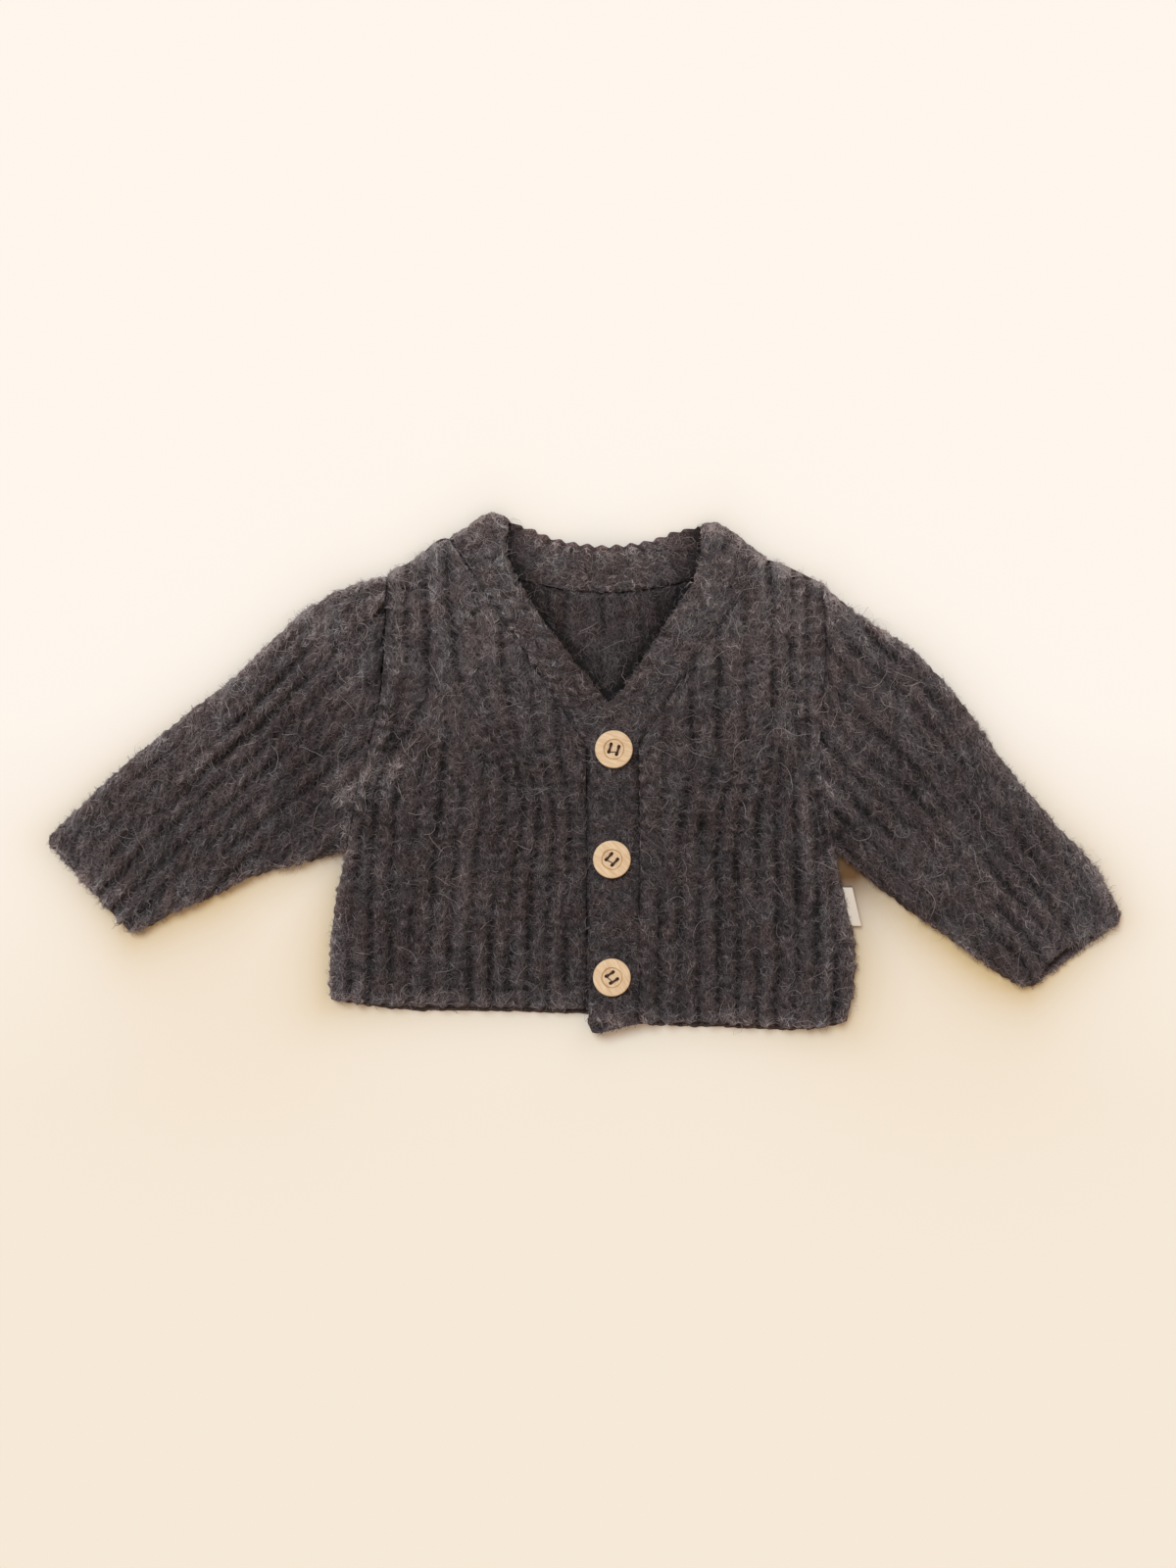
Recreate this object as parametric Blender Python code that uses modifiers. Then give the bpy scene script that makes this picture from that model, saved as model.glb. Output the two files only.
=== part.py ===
"""A baby cardigan in chunky rib knit, buttoned and laid flat on its back.

Sizes are in millimetres until a mesh is made. +X points along the wearer's left
sleeve, +Y to the neck and +Z up from the surface that the cardigan lies on. The
origin is on that surface, at the middle of the cardigan's length and width.

Two layers of knit lie on each other. The lower layer is the back, the sleeves'
under halves and the back of the neck band. The upper layer is the two fronts,
the sleeves' upper halves and the front band, whose left strand overlaps the right.
"""
import bisect
import math
from collections import namedtuple

import bmesh
import bpy
from mathutils import Vector

MM = 0.001

# ---------------------------------------------------------------- driving sizes
WALL = 3.0                # knit wall, measured in a groove between two ribs
RIB = 1.2                 # height of a body or sleeve rib over its groove
GAP = 0.3                 # clearance between two pieces
SEAM_INSET = 0.4          # how far sleeves and band keep back from a seam line
UPPER = WALL + GAP        # underside of the upper layer where it touches the lower
EDGE_WALL = 1.0           # wall left at a folded edge, where the outer face rolls down
EDGE_ROLL = 4.0           # width of that rolled edge
EDGE_EASE = 12.0          # width over which the upper layer comes down to its edge
HEM_DROP = 0.8            # how much lower the wall is at a cut hem or cuff
END_ROW = 0.1             # extra row at a hem or shoulder, as a share of a table row
LOFT = 1.0                # how high the upper layer floats over the lower one
CREST = (0.3, 0.7)        # the two edges of a rib's crest, in rib pitches
RIM_LINE = 0.13           # an extra line near a panel's first and last groove, in rib pitches
TINY = 1e-6
CENTRE_SHIFT = (0.35, -0.6)  # moves the middle of the outline to the origin

BAND_WALL = 2.8           # the band is a little firmer and thinner
BAND_RIB = 0.8            # its cross ribs
BAND_RIB_PITCH = 7.5
BAND_SCALLOP = 0.5        # how far the cross ribs scallop the band's free edge
BAND_UNDER_LEVEL = UPPER + 0.1 + BAND_WALL / 2             # right strand, underneath
BAND_OVER_LEVEL = BAND_UNDER_LEVEL + BAND_WALL + GAP       # left strand, on top
BAND_BACK_LEVEL = WALL / 2                                 # round the back of the neck

BUTTON_RADIUS = 9.5
BUTTON_THICK = 3.4
BUTTON_DISH_RADIUS = 5.0
BUTTON_DISH_DEPTH = 0.6
BUTTON_EDGE = 0.7
BUTTON_HOLE_RADIUS = 0.9
BUTTON_HOLE_OFFSET = 2.05
BUTTON_SEGMENTS = 36
BUTTON_SEAT = BAND_OVER_LEVEL + BAND_WALL / 2 + BAND_RIB + GAP

LABEL_THICK = 0.9
LABEL_LEVEL = 2.9

# ------------------------------------------------------------------ front panels
# Each row is one course of the panel, from hem to top. side is the side seam and
# then the armhole, outer and inner bound the ribs that open out under the chest,
# and edge is the seam with the band.
Course = namedtuple("Course", "side outer inner edge")

RIGHT_COURSES = (
    Course((-128.8, -116.3), (-109.5, -118.0), (-47.5, -119.5), (0.5, -120.5)),
    Course((-129.0, -98.5), (-109.0, -98.5), (-47.5, -98.5), (0.5, -102.0)),
    Course((-128.0, -81.0), (-109.0, -76.0), (-47.0, -73.5), (0.5, -82.5)),
    Course((-125.0, -58.5), (-108.0, -52.5), (-44.5, -46.0), (0.5, -63.5)),
    Course((-120.5, -40.0), (-106.5, -31.0), (-41.5, -25.0), (0.5, -50.0)),
    Course((-117.0, -23.0), (-105.5, -10.0), (-40.0, -6.0), (0.5, -37.0)),
    Course((-113.0, -4.0), (-97.5, 10.0), (-44.5, 12.0), (0.5, -24.5)),
    Course((-108.0, 15.5), (-86.5, 26.5), (-54.5, 30.0), (0.5, -13.5)),
    Course((-103.0, 40.5), (-79.5, 48.0), (-64.0, 54.0), (0.5, -3.5)),
    Course((-101.0, 69.0), (-80.5, 78.0), (-68.0, 85.0), (0.5, 5.5)),
    Course((-100.0, 100.0), (-80.0, 112.5), (-70.0, 119.0), (0.5, 13.0)),
)
LEFT_COURSES = (
    Course((133.0, -127.5), (116.5, -130.5), (78.0, -128.0), (28.0, -127.5)),
    Course((136.5, -108.5), (117.5, -107.5), (78.0, -105.0), (28.0, -107.5)),
    Course((137.0, -88.5), (118.0, -83.5), (77.5, -78.5), (28.0, -86.0)),
    Course((132.5, -68.5), (118.5, -58.5), (77.5, -52.5), (28.0, -66.0)),
    Course((127.0, -40.0), (118.0, -31.0), (78.5, -28.5), (28.0, -50.0)),
    Course((123.5, -22.5), (115.0, -12.0), (82.0, -7.5), (28.0, -36.5)),
    Course((120.0, -3.5), (110.5, 7.0), (89.5, 12.0), (28.0, -24.0)),
    Course((118.5, 16.0), (106.5, 27.0), (95.0, 30.5), (28.0, -13.0)),
    Course((120.5, 39.5), (105.0, 49.5), (95.0, 54.5), (28.0, -3.0)),
    Course((121.5, 67.0), (105.0, 76.0), (94.5, 82.0), (28.0, 6.5)),
    Course((121.0, 96.0), (105.5, 102.5), (93.5, 108.0), (28.0, 14.5)),
)
UNDERARM_COURSE = 4       # the row at which the side seam becomes the armhole
CLOSING_COURSES = (5.5, 7.0)  # rows between which the opened ribs close up into one

Front = namedtuple("Front", "name courses outer_rib inner_rib edge_rib")
FRONTS = (
    Front("front_right", RIGHT_COURSES, 2, 8, 13),
    Front("front_left", LEFT_COURSES, 2, 6, 11),
)

# ------------------------------------------------------------------------- back
# One row for each lengthwise line of the back, from the right side to the left.
BackLine = namedtuple("BackLine", "hem top")
BACK_LINES = (
    BackLine((-128.8, -116.3), (-100.0, 100.0)),
    BackLine((-109.0, -119.0), (-85.0, 109.5)),
    BackLine((-88.5, -121.0), (-70.0, 119.0)),
    BackLine((-59.0, -121.5), (-51.0, 104.0)),
    BackLine((-35.0, -122.0), (-33.5, 98.0)),
    BackLine((-10.0, -122.5), (-12.0, 93.5)),
    BackLine((12.0, -124.0), (10.0, 91.5)),
    BackLine((33.0, -128.5), (34.0, 93.5)),
    BackLine((57.0, -129.5), (55.0, 98.0)),
    BackLine((82.0, -130.0), (74.0, 103.5)),
    BackLine((112.0, -131.0), (93.5, 108.0)),
    BackLine((133.0, -127.5), (121.0, 96.0)),
)
BACK_NECK_FIRST = 2       # the lines between which the top is the back neck
BACK_NECK_LAST = 10
BACK_EDGE_INSET = 1.2     # how far the underside keeps back from the outline

# ----------------------------------------------------------------------- sleeves
# One row for each section of a sleeve, from armhole to cuff: its ends on the upper
# edge and on the underarm edge.
Section = namedtuple("Section", "over under")

RIGHT_SLEEVE = (
    Section((-100.0, 100.0), (-120.5, -40.0)),
    Section((-126.0, 92.0), (-136.0, -44.3)),
    Section((-151.0, 74.5), (-153.5, -48.5)),
    Section((-178.5, 48.0), (-171.0, -53.7)),
    Section((-203.5, 29.0), (-187.5, -62.7)),
    Section((-238.5, 0.0), (-208.5, -71.3)),
    Section((-256.0, -17.0), (-219.0, -77.0)),
    Section((-273.5, -34.0), (-230.0, -82.0)),
)
LEFT_SLEEVE = (
    Section((121.0, 96.0), (127.0, -40.0)),
    Section((143.6, 77.2), (138.0, -49.0)),
    Section((168.5, 61.0), (153.5, -61.5)),
    Section((190.5, 37.2), (169.0, -73.0)),
    Section((207.5, 12.8), (182.5, -82.5)),
    Section((237.0, -23.5), (204.0, -98.0)),
    Section((259.5, -48.0), (216.0, -105.5)),
    Section((272.8, -74.7), (226.0, -109.8)),
)
SLEEVE_RIBS = 8
SLEEVE_STEPS = 2          # sections made from each row
SLEEVE_BEND = 0.5         # share of the length over which the armhole curve fades
SLEEVE_HOLLOW = 3.5       # how far the hollow keeps back from the folded edges
LEFT_CUFF_OPEN = 4.5      # how far the left cuff's upper half is drawn back from the under

# ------------------------------------------------------------------------- folds
# Soft ridges and troughs of the upper layer, each along a line.
Fold = namedtuple("Fold", "start end width height")
FOLDS = (
    Fold((-70, -37), (-90, -68), 8, -1.0),       # drag line from the right underarm
    Fold((-78, -45), (-84, -109), 9, -0.7),      # hollow down the right front
    Fold((-62, -22), (-58, -60), 10, 0.7),       # swell beside it
    Fold((-72, 42), (-68, 14), 15, 0.9),         # swell where the ribs open out
    Fold((-107, 55), (-117, -10), 8, 1.4),       # ridge along the right armhole
    Fold((-133, 44), (-145, -24), 12, -1.0),     # hollow at the top of that sleeve
    Fold((-170, 5), (-235, -45), 16, 0.6),       # swell along the right forearm
    Fold((-9, 0), (-9, -63), 6, -0.6),           # hollow beside the buttons
    Fold((124, 70), (128, 20), 8, 1.2),          # ridge along the left armhole
    Fold((122, 10), (118, -25), 7, 1.0),         # gather at the left underarm
    Fold((158, 5), (162, -25), 13, -1.0),        # hollow at the top of the left sleeve
    Fold((192, 40), (208, 10), 14, 1.3),         # elbow swell of the left sleeve
    Fold((134, -35), (174, -66), 7, -0.9),       # crease under the left arm
    Fold((205, -40), (235, -75), 15, 0.5),       # swell along the left forearm
    Fold((69, -39), (79, -83), 9, -0.8),         # long hollow down the left front
    Fold((79, -83), (102, -118), 9, -0.8),
    Fold((96, -40), (104, -80), 9, 0.6),         # swell beside it
    Fold((29, -126), (29, 4), 9, 2.1),           # the left front rides up on the band
    Fold((38, 22), (62, 58), 9, 0.9),
)

# -------------------------------------------------------------------------- band
# Free edge of each stretch of the band, from the right hem to the left hem.
RIGHT_PLACKET_FREE = ((25.0, -122.0), (25.0, 4.0))
RIGHT_VEE_FREE = ((25.0, 4.0), (21.5, 16.0), (12.0, 35.0), (3.4, 46.0), (-9.9, 62.6),
                  (-22.4, 79.3), (-33.2, 96.8), (-38.3, 108.5), (-39.5, 117.0), (-38.0, 126.5))
BACK_NECK_FREE = ((-38.0, 126.5), (-27.0, 122.8), (-14.0, 117.5), (10.0, 113.5),
                  (32.0, 116.5), (47.0, 121.8), (59.0, 124.5))
LEFT_VEE_FREE = ((59.0, 124.5), (59.3, 116.0), (58.3, 108.0), (54.5, 95.5), (48.4, 86.8),
                 (39.3, 72.6), (28.4, 56.0), (18.4, 41.5), (10.5, 34.0), (4.5, 24.5), (3.2, 17.0))
LEFT_PLACKET_FREE = ((3.2, 17.0), (2.0, -130.5))
LEFT_PLACKET_END = (28.0, -126.5)

# Heights below are those of the wall's middle, and shares are of a stretch's length.
VEE_SEAM_RISE = 0.8       # how far the V's seam lifts between button and shoulder
VEE_FREE_RISE = 1.6       # how far its free edge lifts
VEE_RISE_END = 0.45       # share of the V over which it lifts and settles to one layer
VEE_FALL = 0.3            # share of the V, at the shoulder, over which it comes down
VEE_RIB_SHARES = (0.2, 0.35)  # where the right strand comes out from under the left one
NECK_STAND = 6.0          # how far the free edge stands up at the back of the neck
NECK_STAND_START = 0.16   # share of the back neck that lies flat at each end
NECK_RIB_SHARES = (0.1, 0.25)  # where the back neck comes out from under the V
FOLD_STATIONS = 5
FOLD_SETBACK = 2.6        # how far below the shoulder point the band's fold starts
FOLD_BOW = 5.0            # how far the fold bows out between seam and free edge
FOLD_BOW_SKEW = 2.0       # puts the widest part of the bow nearer the free edge
FOLD_BOW_REACH = 14.0     # length over which the bow fades into the V and the back neck

# ---------------------------------------------------------------------- fasteners
Button = namedtuple("Button", "name place turn_deg")
BUTTONS = (
    Button("button_top", (14.75, 11.75), 73.0),
    Button("button_middle", (13.75, -43.75), 47.0),
    Button("button_bottom", (13.75, -103.25), 32.0),
)
# Corners of the label's two panels, one row for each edge across it.
LabelEdge = namedtuple("LabelEdge", "inner outer")
LABEL_EDGES = (
    LabelEdge((130.9, -57.4), (136.0, -57.5)),
    LabelEdge((133.0, -68.4), (138.4, -67.8)),
    LabelEdge((135.1, -77.9), (140.8, -77.9)),
)

# Name, base colour, roughness
YARN = ("yarn", (0.063, 0.050, 0.048, 1.0), 0.95)
BUTTON_WOOD = ("button_wood", (0.72, 0.55, 0.33, 1.0), 0.55)
LABEL_TAPE = ("label_tape", (0.80, 0.78, 0.74, 1.0), 0.85)


# --------------------------------------------------------------------- small maths
def mix(a, b, share):
    """Point or number at a share of the way from a to b."""
    if isinstance(a, tuple):
        return tuple(p + (q - p) * share for p, q in zip(a, b))
    return a + (b - a) * share


def smooth(share):
    """Smooth step from 0 to 1."""
    share = min(max(share, 0.0), 1.0)
    return share * share * (3 - 2 * share)


def spline(points, place):
    """Point on a smooth curve through points, place counted in points from the first."""
    last = len(points) - 1
    first = min(int(place), last - 1)
    share = place - first
    near = [points[min(max(first + k, 0), last)] for k in (-1, 0, 1, 2)]
    weights = (
        -0.5 * share + share ** 2 - 0.5 * share ** 3,
        1 - 2.5 * share ** 2 + 1.5 * share ** 3,
        0.5 * share + 2 * share ** 2 - 1.5 * share ** 3,
        -0.5 * share ** 2 + 0.5 * share ** 3,
    )
    return tuple(sum(w * p[axis] for w, p in zip(weights, near)) for axis in (0, 1))


def corner_shares(points):
    """Share of the whole length at each corner of the straight runs between points."""
    runs = [math.dist(a, b) for a, b in zip(points, points[1:])]
    return [sum(runs[:k]) / sum(runs) for k in range(len(points))]


def along(points, share):
    """Point at a share of the length of the straight runs between points."""
    runs = [math.dist(a, b) for a, b in zip(points, points[1:])]
    left = share * sum(runs)
    for start, end, run in zip(points, points[1:], runs):
        if left <= run or end is points[-1]:
            return mix(start, end, min(left / run, 1.0))
        left -= run


def distance_to_line(point, start, end):
    """Distance from point to the straight run from start to end."""
    run = (end[0] - start[0], end[1] - start[1])
    offset = (point[0] - start[0], point[1] - start[1])
    share = (run[0] * offset[0] + run[1] * offset[1]) / (run[0] ** 2 + run[1] ** 2)
    return math.dist(point, mix(tuple(start), tuple(end), min(max(share, 0.0), 1.0)))


# ------------------------------------------------------------- the upper layer's form
def side_line(courses, first, last):
    """The side seam or armhole of a front, from one row to another."""
    return [course.side for course in courses[first:last + 1]]


def sleeve_sections(rows):
    """The sections of a sleeve, smoothed to SLEEVE_STEPS for each row."""
    count = (len(rows) - 1) * SLEEVE_STEPS
    places = [index / SLEEVE_STEPS for index in range(count + 1)]
    over = [row.over for row in rows]
    under = [row.under for row in rows]
    return [Section(spline(over, place), spline(under, place)) for place in places]


def folded_edges():
    """Runs of the outline where the knit folds over from the upper to the lower layer."""
    edges = []
    for courses in (RIGHT_COURSES, LEFT_COURSES):
        edges.append(side_line(courses, 0, UNDERARM_COURSE))
        edges.append([courses[-1].side, courses[-1].outer, courses[-1].inner])
    for rows in (RIGHT_SLEEVE, LEFT_SLEEVE):
        sections = sleeve_sections(rows)
        edges.append([section.over for section in sections])
        edges.append([section.under for section in sections])
    return [pair for edge in edges for pair in zip(edge, edge[1:])]


FOLDED_EDGES = folded_edges()


def edge_distance(point):
    """Distance from the nearest folded edge."""
    return min(distance_to_line(point, *edge) for edge in FOLDED_EDGES)


def lift(point):
    """How far the upper layer's underside stands off the lower layer."""
    height = LOFT
    for fold in FOLDS:
        away = distance_to_line(point, fold.start, fold.end) / fold.width
        height += fold.height * math.exp(-away * away)
    return max(height, 0.0) * smooth(edge_distance(point) / EDGE_EASE)


def upper_faces(point, rib, drop=0.0):
    """Heights of the upper layer's underside and outer face, with a rib of this height."""
    under = UPPER + lift(point)
    roll = min(edge_distance(point) / EDGE_ROLL, 1.0)
    rounding = math.sqrt(1 - (1 - roll) ** 2)
    return under, under + EDGE_WALL + (WALL - EDGE_WALL + rib) * rounding - drop


# ------------------------------------------------------------------- mesh building
def stitch(faces, loop_a, loop_b):
    """Join two closed loops of (place, vertex), each with places rising from 0 to 1."""
    ring_a = loop_a + [(1.0, loop_a[0][1])]
    ring_b = loop_b + [(1.0, loop_b[0][1])]
    a = b = 0
    while a < len(loop_a) or b < len(loop_b):
        step_a = a < len(loop_a) and (b == len(loop_b) or ring_a[a + 1][0] <= ring_b[b + 1][0])
        if step_a:
            faces.append((ring_a[a][1], ring_a[a + 1][1], ring_b[b][1]))
            a += 1
        else:
            faces.append((ring_a[a][1], ring_b[b + 1][1], ring_b[b][1]))
            b += 1


def add_grid(verts, faces, rows):
    """Add a grid of points, and return the vertex numbers row by row."""
    numbers = []
    for row in rows:
        numbers.append(list(range(len(verts), len(verts) + len(row))))
        verts.extend(row)
    for low, high in zip(numbers, numbers[1:]):
        for k in range(len(low) - 1):
            faces.append((low[k], low[k + 1], high[k + 1], high[k]))
    return numbers


def border(numbers, row_places, column_places):
    """The rim of a grid as a loop of (place, vertex), a quarter of it for each side."""
    last = len(numbers) - 1
    loop = [(0.25 * c, numbers[0][k]) for k, c in enumerate(column_places[:-1])]
    loop += [(0.25 + 0.25 * r, numbers[k][-1]) for k, r in enumerate(row_places[:-1])]
    loop += [(0.5 + 0.25 * (1 - c), numbers[last][k])
             for k, c in reversed(list(enumerate(column_places))) if k > 0]
    loop += [(0.75 + 0.25 * (1 - r), numbers[k][0])
             for k, r in reversed(list(enumerate(row_places))) if k > 0]
    return loop


def make_material(name, colour, roughness):
    material = bpy.data.materials.get(name) or bpy.data.materials.new(name)
    material.use_nodes = True
    shader = material.node_tree.nodes["Principled BSDF"]
    shader.inputs["Base Color"].default_value = colour
    shader.inputs["Roughness"].default_value = roughness
    shader.inputs["Metallic"].default_value = 0.0
    return material


def make_piece(name, verts, faces, finish, collection):
    """Make a closed piece from millimetre points, with its faces pointing out."""
    shift = (*CENTRE_SHIFT, 0.0)
    mesh = bpy.data.meshes.new(name)
    mesh.from_pydata([[(c + s) * MM for c, s in zip(v, shift)] for v in verts], [], faces)
    work = bmesh.new()
    work.from_mesh(mesh)
    bmesh.ops.recalc_face_normals(work, faces=work.faces)
    if work.calc_volume(signed=True) < 0:
        bmesh.ops.reverse_faces(work, faces=work.faces)
    work.to_mesh(mesh)
    work.free()
    mesh.materials.append(make_material(*finish))
    mesh.shade_smooth()
    mesh.set_sharp_from_angle(angle=math.radians(50))
    piece = bpy.data.objects.new(name, mesh)
    collection.objects.link(piece)
    return piece


# ------------------------------------------------------------------------- fronts
def rib_places(count):
    """Places of the grooves and crests of count ribs, with two more at each end."""
    places = [rib + step for rib in range(count) for step in (0.0, *CREST)]
    return sorted(places + [RIM_LINE, count - RIM_LINE, float(count)])


def rib_relief(place):
    """Height of a rib over its groove at a place counted in ribs."""
    return RIB if CREST[0] - TINY < place % 1 < CREST[1] + TINY else 0.0


def course_point(front, course, place):
    """Point on a course at a place counted in ribs from the side."""
    knots = (
        (0, course.side),
        (front.outer_rib, course.outer),
        (front.inner_rib, course.inner),
        (front.edge_rib, course.edge),
    )
    for (start, first), (end, last) in zip(knots, knots[1:]):
        if place <= end:
            return mix(first, last, (place - start) / (end - start))


def front_rows(front):
    """The courses of a front by number, with one more near the hem and one near the top."""
    last = len(front.courses) - 1
    numbers = [0, END_ROW, *range(1, last), last - END_ROW, last]
    rows = []
    for number in numbers:
        below = min(int(number), last - 1)
        pairs = zip(front.courses[below], front.courses[below + 1])
        rows.append((number, Course(*(mix(a, b, number - below) for a, b in pairs))))
    return rows


def front_relief(front, course, place):
    """Height of a front's ribs; above the chest the opened ribs become one."""
    if not front.outer_rib < place < front.inner_rib:
        return rib_relief(place)
    start, end = CLOSING_COURSES
    return mix(rib_relief(place), RIB, smooth((course - start) / (end - start)))


def make_front(front, collection):
    rows = front_rows(front)
    outer_places = rib_places(front.edge_rib)
    inner_places = [float(rib) for rib in range(front.edge_rib + 1)]
    verts, faces, outer_rows, inner_rows = [], [], [], []
    for number, row in rows:
        drop = HEM_DROP if number == 0 else 0.0
        outer = []
        for place in outer_places:
            point = course_point(front, row, place)
            rib = front_relief(front, number, place)
            outer.append((*point, upper_faces(point, rib, drop)[1]))
        outer_rows.append(outer)
        points = [course_point(front, row, place) for place in inner_places]
        inner_rows.append([(*point, upper_faces(point, 0.0)[0]) for point in points])
    outer_numbers = add_grid(verts, faces, outer_rows)
    inner_numbers = add_grid(verts, faces, inner_rows)
    row_places = [number / rows[-1][0] for number, _ in rows]
    rims = [border(numbers, row_places, [place / front.edge_rib for place in places])
            for numbers, places in ((outer_numbers, outer_places), (inner_numbers, inner_places))]
    stitch(faces, *rims)
    return make_piece(front.name, verts, faces, YARN, collection)


# --------------------------------------------------------------------------- back
def back_point(number, row):
    """Point of the back on a lengthwise line and a row, between its four edges."""
    across = number / (len(BACK_LINES) - 1)
    up = row / (len(RIGHT_COURSES) - 1)
    line = BACK_LINES[number]
    first, last = BACK_LINES[0], BACK_LINES[-1]
    point = []
    for axis in (0, 1):
        sides = mix(RIGHT_COURSES[row].side[axis], LEFT_COURSES[row].side[axis], across)
        ends = mix(line.hem[axis], line.top[axis], up)
        low = mix(first.hem[axis], last.hem[axis], across)
        high = mix(first.top[axis], last.top[axis], across)
        point.append(sides + ends - mix(low, high, up))
    return tuple(point)


def inset_rows(rows, inset):
    """Move the rim of a grid of points towards its middle."""
    moved = [list(row) for row in rows]
    last_row = len(rows) - 1
    last = len(rows[0]) - 1
    for r, row in enumerate(rows):
        for c, point in enumerate(row):
            if 0 < r < last_row and 0 < c < last:
                continue
            inner = rows[min(max(r, 1), last_row - 1)][min(max(c, 1), last - 1)]
            moved[r][c] = mix(point, inner, inset / math.dist(point, inner))
    return moved


def at_height(rows, height):
    return [[(*point, height) for point in row] for row in rows]


def make_back(collection):
    """A flat panel whose underside keeps back from its rounded rim."""
    points = [[back_point(line, row) for line in range(len(BACK_LINES))]
              for row in range(len(RIGHT_COURSES))]
    verts, faces = [], []
    row_places = [row / (len(points) - 1) for row in range(len(points))]
    line_places = [line / (len(BACK_LINES) - 1) for line in range(len(BACK_LINES))]
    inside = add_grid(verts, faces, at_height(points, WALL))
    edge = add_grid(verts, [], at_height(points, EDGE_WALL))
    underside = add_grid(verts, faces, at_height(inset_rows(points, BACK_EDGE_INSET), 0.0))
    inside_rim, edge_rim, under_rim = (border(grid, row_places, line_places)
                                       for grid in (inside, edge, underside))
    stitch(faces, inside_rim, edge_rim)
    stitch(faces, edge_rim, under_rim)
    used = sorted({number for face in faces for number in face})
    place = {number: k for k, number in enumerate(used)}
    verts = [verts[number] for number in used]
    faces = [tuple(place[number] for number in face) for face in faces]
    return make_piece("back", verts, faces, YARN, collection)


# ------------------------------------------------------------------------- sleeves
def sleeve_point(sections, seam, index, across):
    """Point of a sleeve at a share across it, from its upper edge to the underarm."""
    share = index / (len(sections) - 1)
    section = sections[index]
    point = mix(section.over, section.under, across)
    chord = mix(sections[0].over, sections[0].under, across)
    curve = along(seam, across)
    fade = max(1 - share / SLEEVE_BEND, 0.0) ** 2
    shifted = [p + fade * (c - d) for p, c, d in zip(point, curve, chord)]
    middle = [mix(s.over, s.under, 0.5) for s in sections[:2]]
    away = math.dist(*middle)
    back_off = SEAM_INSET / away if index == 0 else 0.0
    return tuple(p + back_off * (b - a) for p, a, b in zip(shifted, *middle))


def upper_sleeve_point(sections, seam, index, across, cuff_open):
    """The same on the upper half, which the open cuff draws back at its last section."""
    point = sleeve_point(sections, seam, index, across)
    if index < len(sections) - 1:
        return point
    behind = sleeve_point(sections, seam, index - 1, across)
    drawn = cuff_open * math.sin(math.pi * across) ** 2
    return mix(point, behind, drawn / math.dist(point, behind))


def sleeve_loops(sections, seam, index, cuff_open):
    """The outer and hollow loops of (place, point) round one section of a sleeve."""
    width = math.dist(sections[index].over, sections[index].under)
    drop = HEM_DROP if index == len(sections) - 1 else 0.0
    under_shares = corner_shares(seam)[::-1]
    outer = []
    for place in rib_places(SLEEVE_RIBS):
        across = place / SLEEVE_RIBS
        point = upper_sleeve_point(sections, seam, index, across, cuff_open)
        height = upper_faces(point, rib_relief(place), drop)[1]
        outer.append((across / 2, (*point, height)))
    inset = EDGE_WALL / width
    outer.append((0.5, (*sleeve_point(sections, seam, index, 1.0), 2 * EDGE_WALL)))
    for share in under_shares:
        across = min(max(share, inset), 1 - inset)
        outer.append((1 - across / 2, (*sleeve_point(sections, seam, index, across), 0.0)))
    outer.append((1.0, (*sleeve_point(sections, seam, index, 0.0), 2 * EDGE_WALL)))

    hollow = []
    margin = SLEEVE_HOLLOW / width
    for rib in range(SLEEVE_RIBS + 1):
        across = mix(margin, 1 - margin, rib / SLEEVE_RIBS)
        point = upper_sleeve_point(sections, seam, index, across, cuff_open)
        hollow.append((across / 2, (*point, upper_faces(point, 0.0)[0] + GAP)))
    for share in under_shares:
        across = min(max(share, margin), 1 - margin)
        hollow.append((1 - across / 2, (*sleeve_point(sections, seam, index, across), WALL)))
    start = hollow[0][0]
    return outer, [(place - start, point) for place, point in hollow]


def add_tube(verts, faces, loops):
    """Add closed loops of (place, point) as a tube, and return its first and last loop."""
    numbers = add_grid(verts, faces, [[point for _, point in loop] for loop in loops])
    for low, high in zip(numbers, numbers[1:]):
        faces.append((low[-1], low[0], high[0], high[-1]))
    return [[(place, number) for (place, _), number in zip(loops[end], numbers[end])]
            for end in (0, -1)]


def make_sleeve(name, rows, courses, cuff_open, collection):
    """A flattened tube: ribs on its upper half, a plain under half and a thin hollow."""
    sections = sleeve_sections(rows)
    seam = side_line(courses, UNDERARM_COURSE, len(courses) - 1)[::-1]
    loops = [sleeve_loops(sections, seam, index, cuff_open) for index in range(len(sections))]
    verts, faces = [], []
    outer_ends = add_tube(verts, faces, [outer for outer, _ in loops])
    hollow_ends = add_tube(verts, faces, [hollow for _, hollow in loops])
    for outer_end, hollow_end in zip(outer_ends, hollow_ends):
        stitch(faces, outer_end, hollow_end)
    return make_piece(name, verts, faces, YARN, collection)


# ---------------------------------------------------------------------------- band
def vee_line(front):
    """A front's seam with the band up the V, from the buttons to the shoulder."""
    top = front.courses[-1]
    return [top.edge, set_back(top.inner, top.edge)]


def neck_line():
    """The back's seam with the band, round the back of the neck."""
    line = [line.top for line in BACK_LINES[BACK_NECK_FIRST:BACK_NECK_LAST + 1]]
    return [set_back(line[0], line[1]), *line[1:-1], set_back(line[-1], line[-2])]


def set_back(shoulder, below):
    """Point a little below a shoulder point, where the band's fold starts."""
    return mix(shoulder, below, FOLD_SETBACK / math.dist(shoulder, below))


Station = namedtuple("Station", "seam free seam_level free_level roll bow rib_out rib_in wave")


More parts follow.
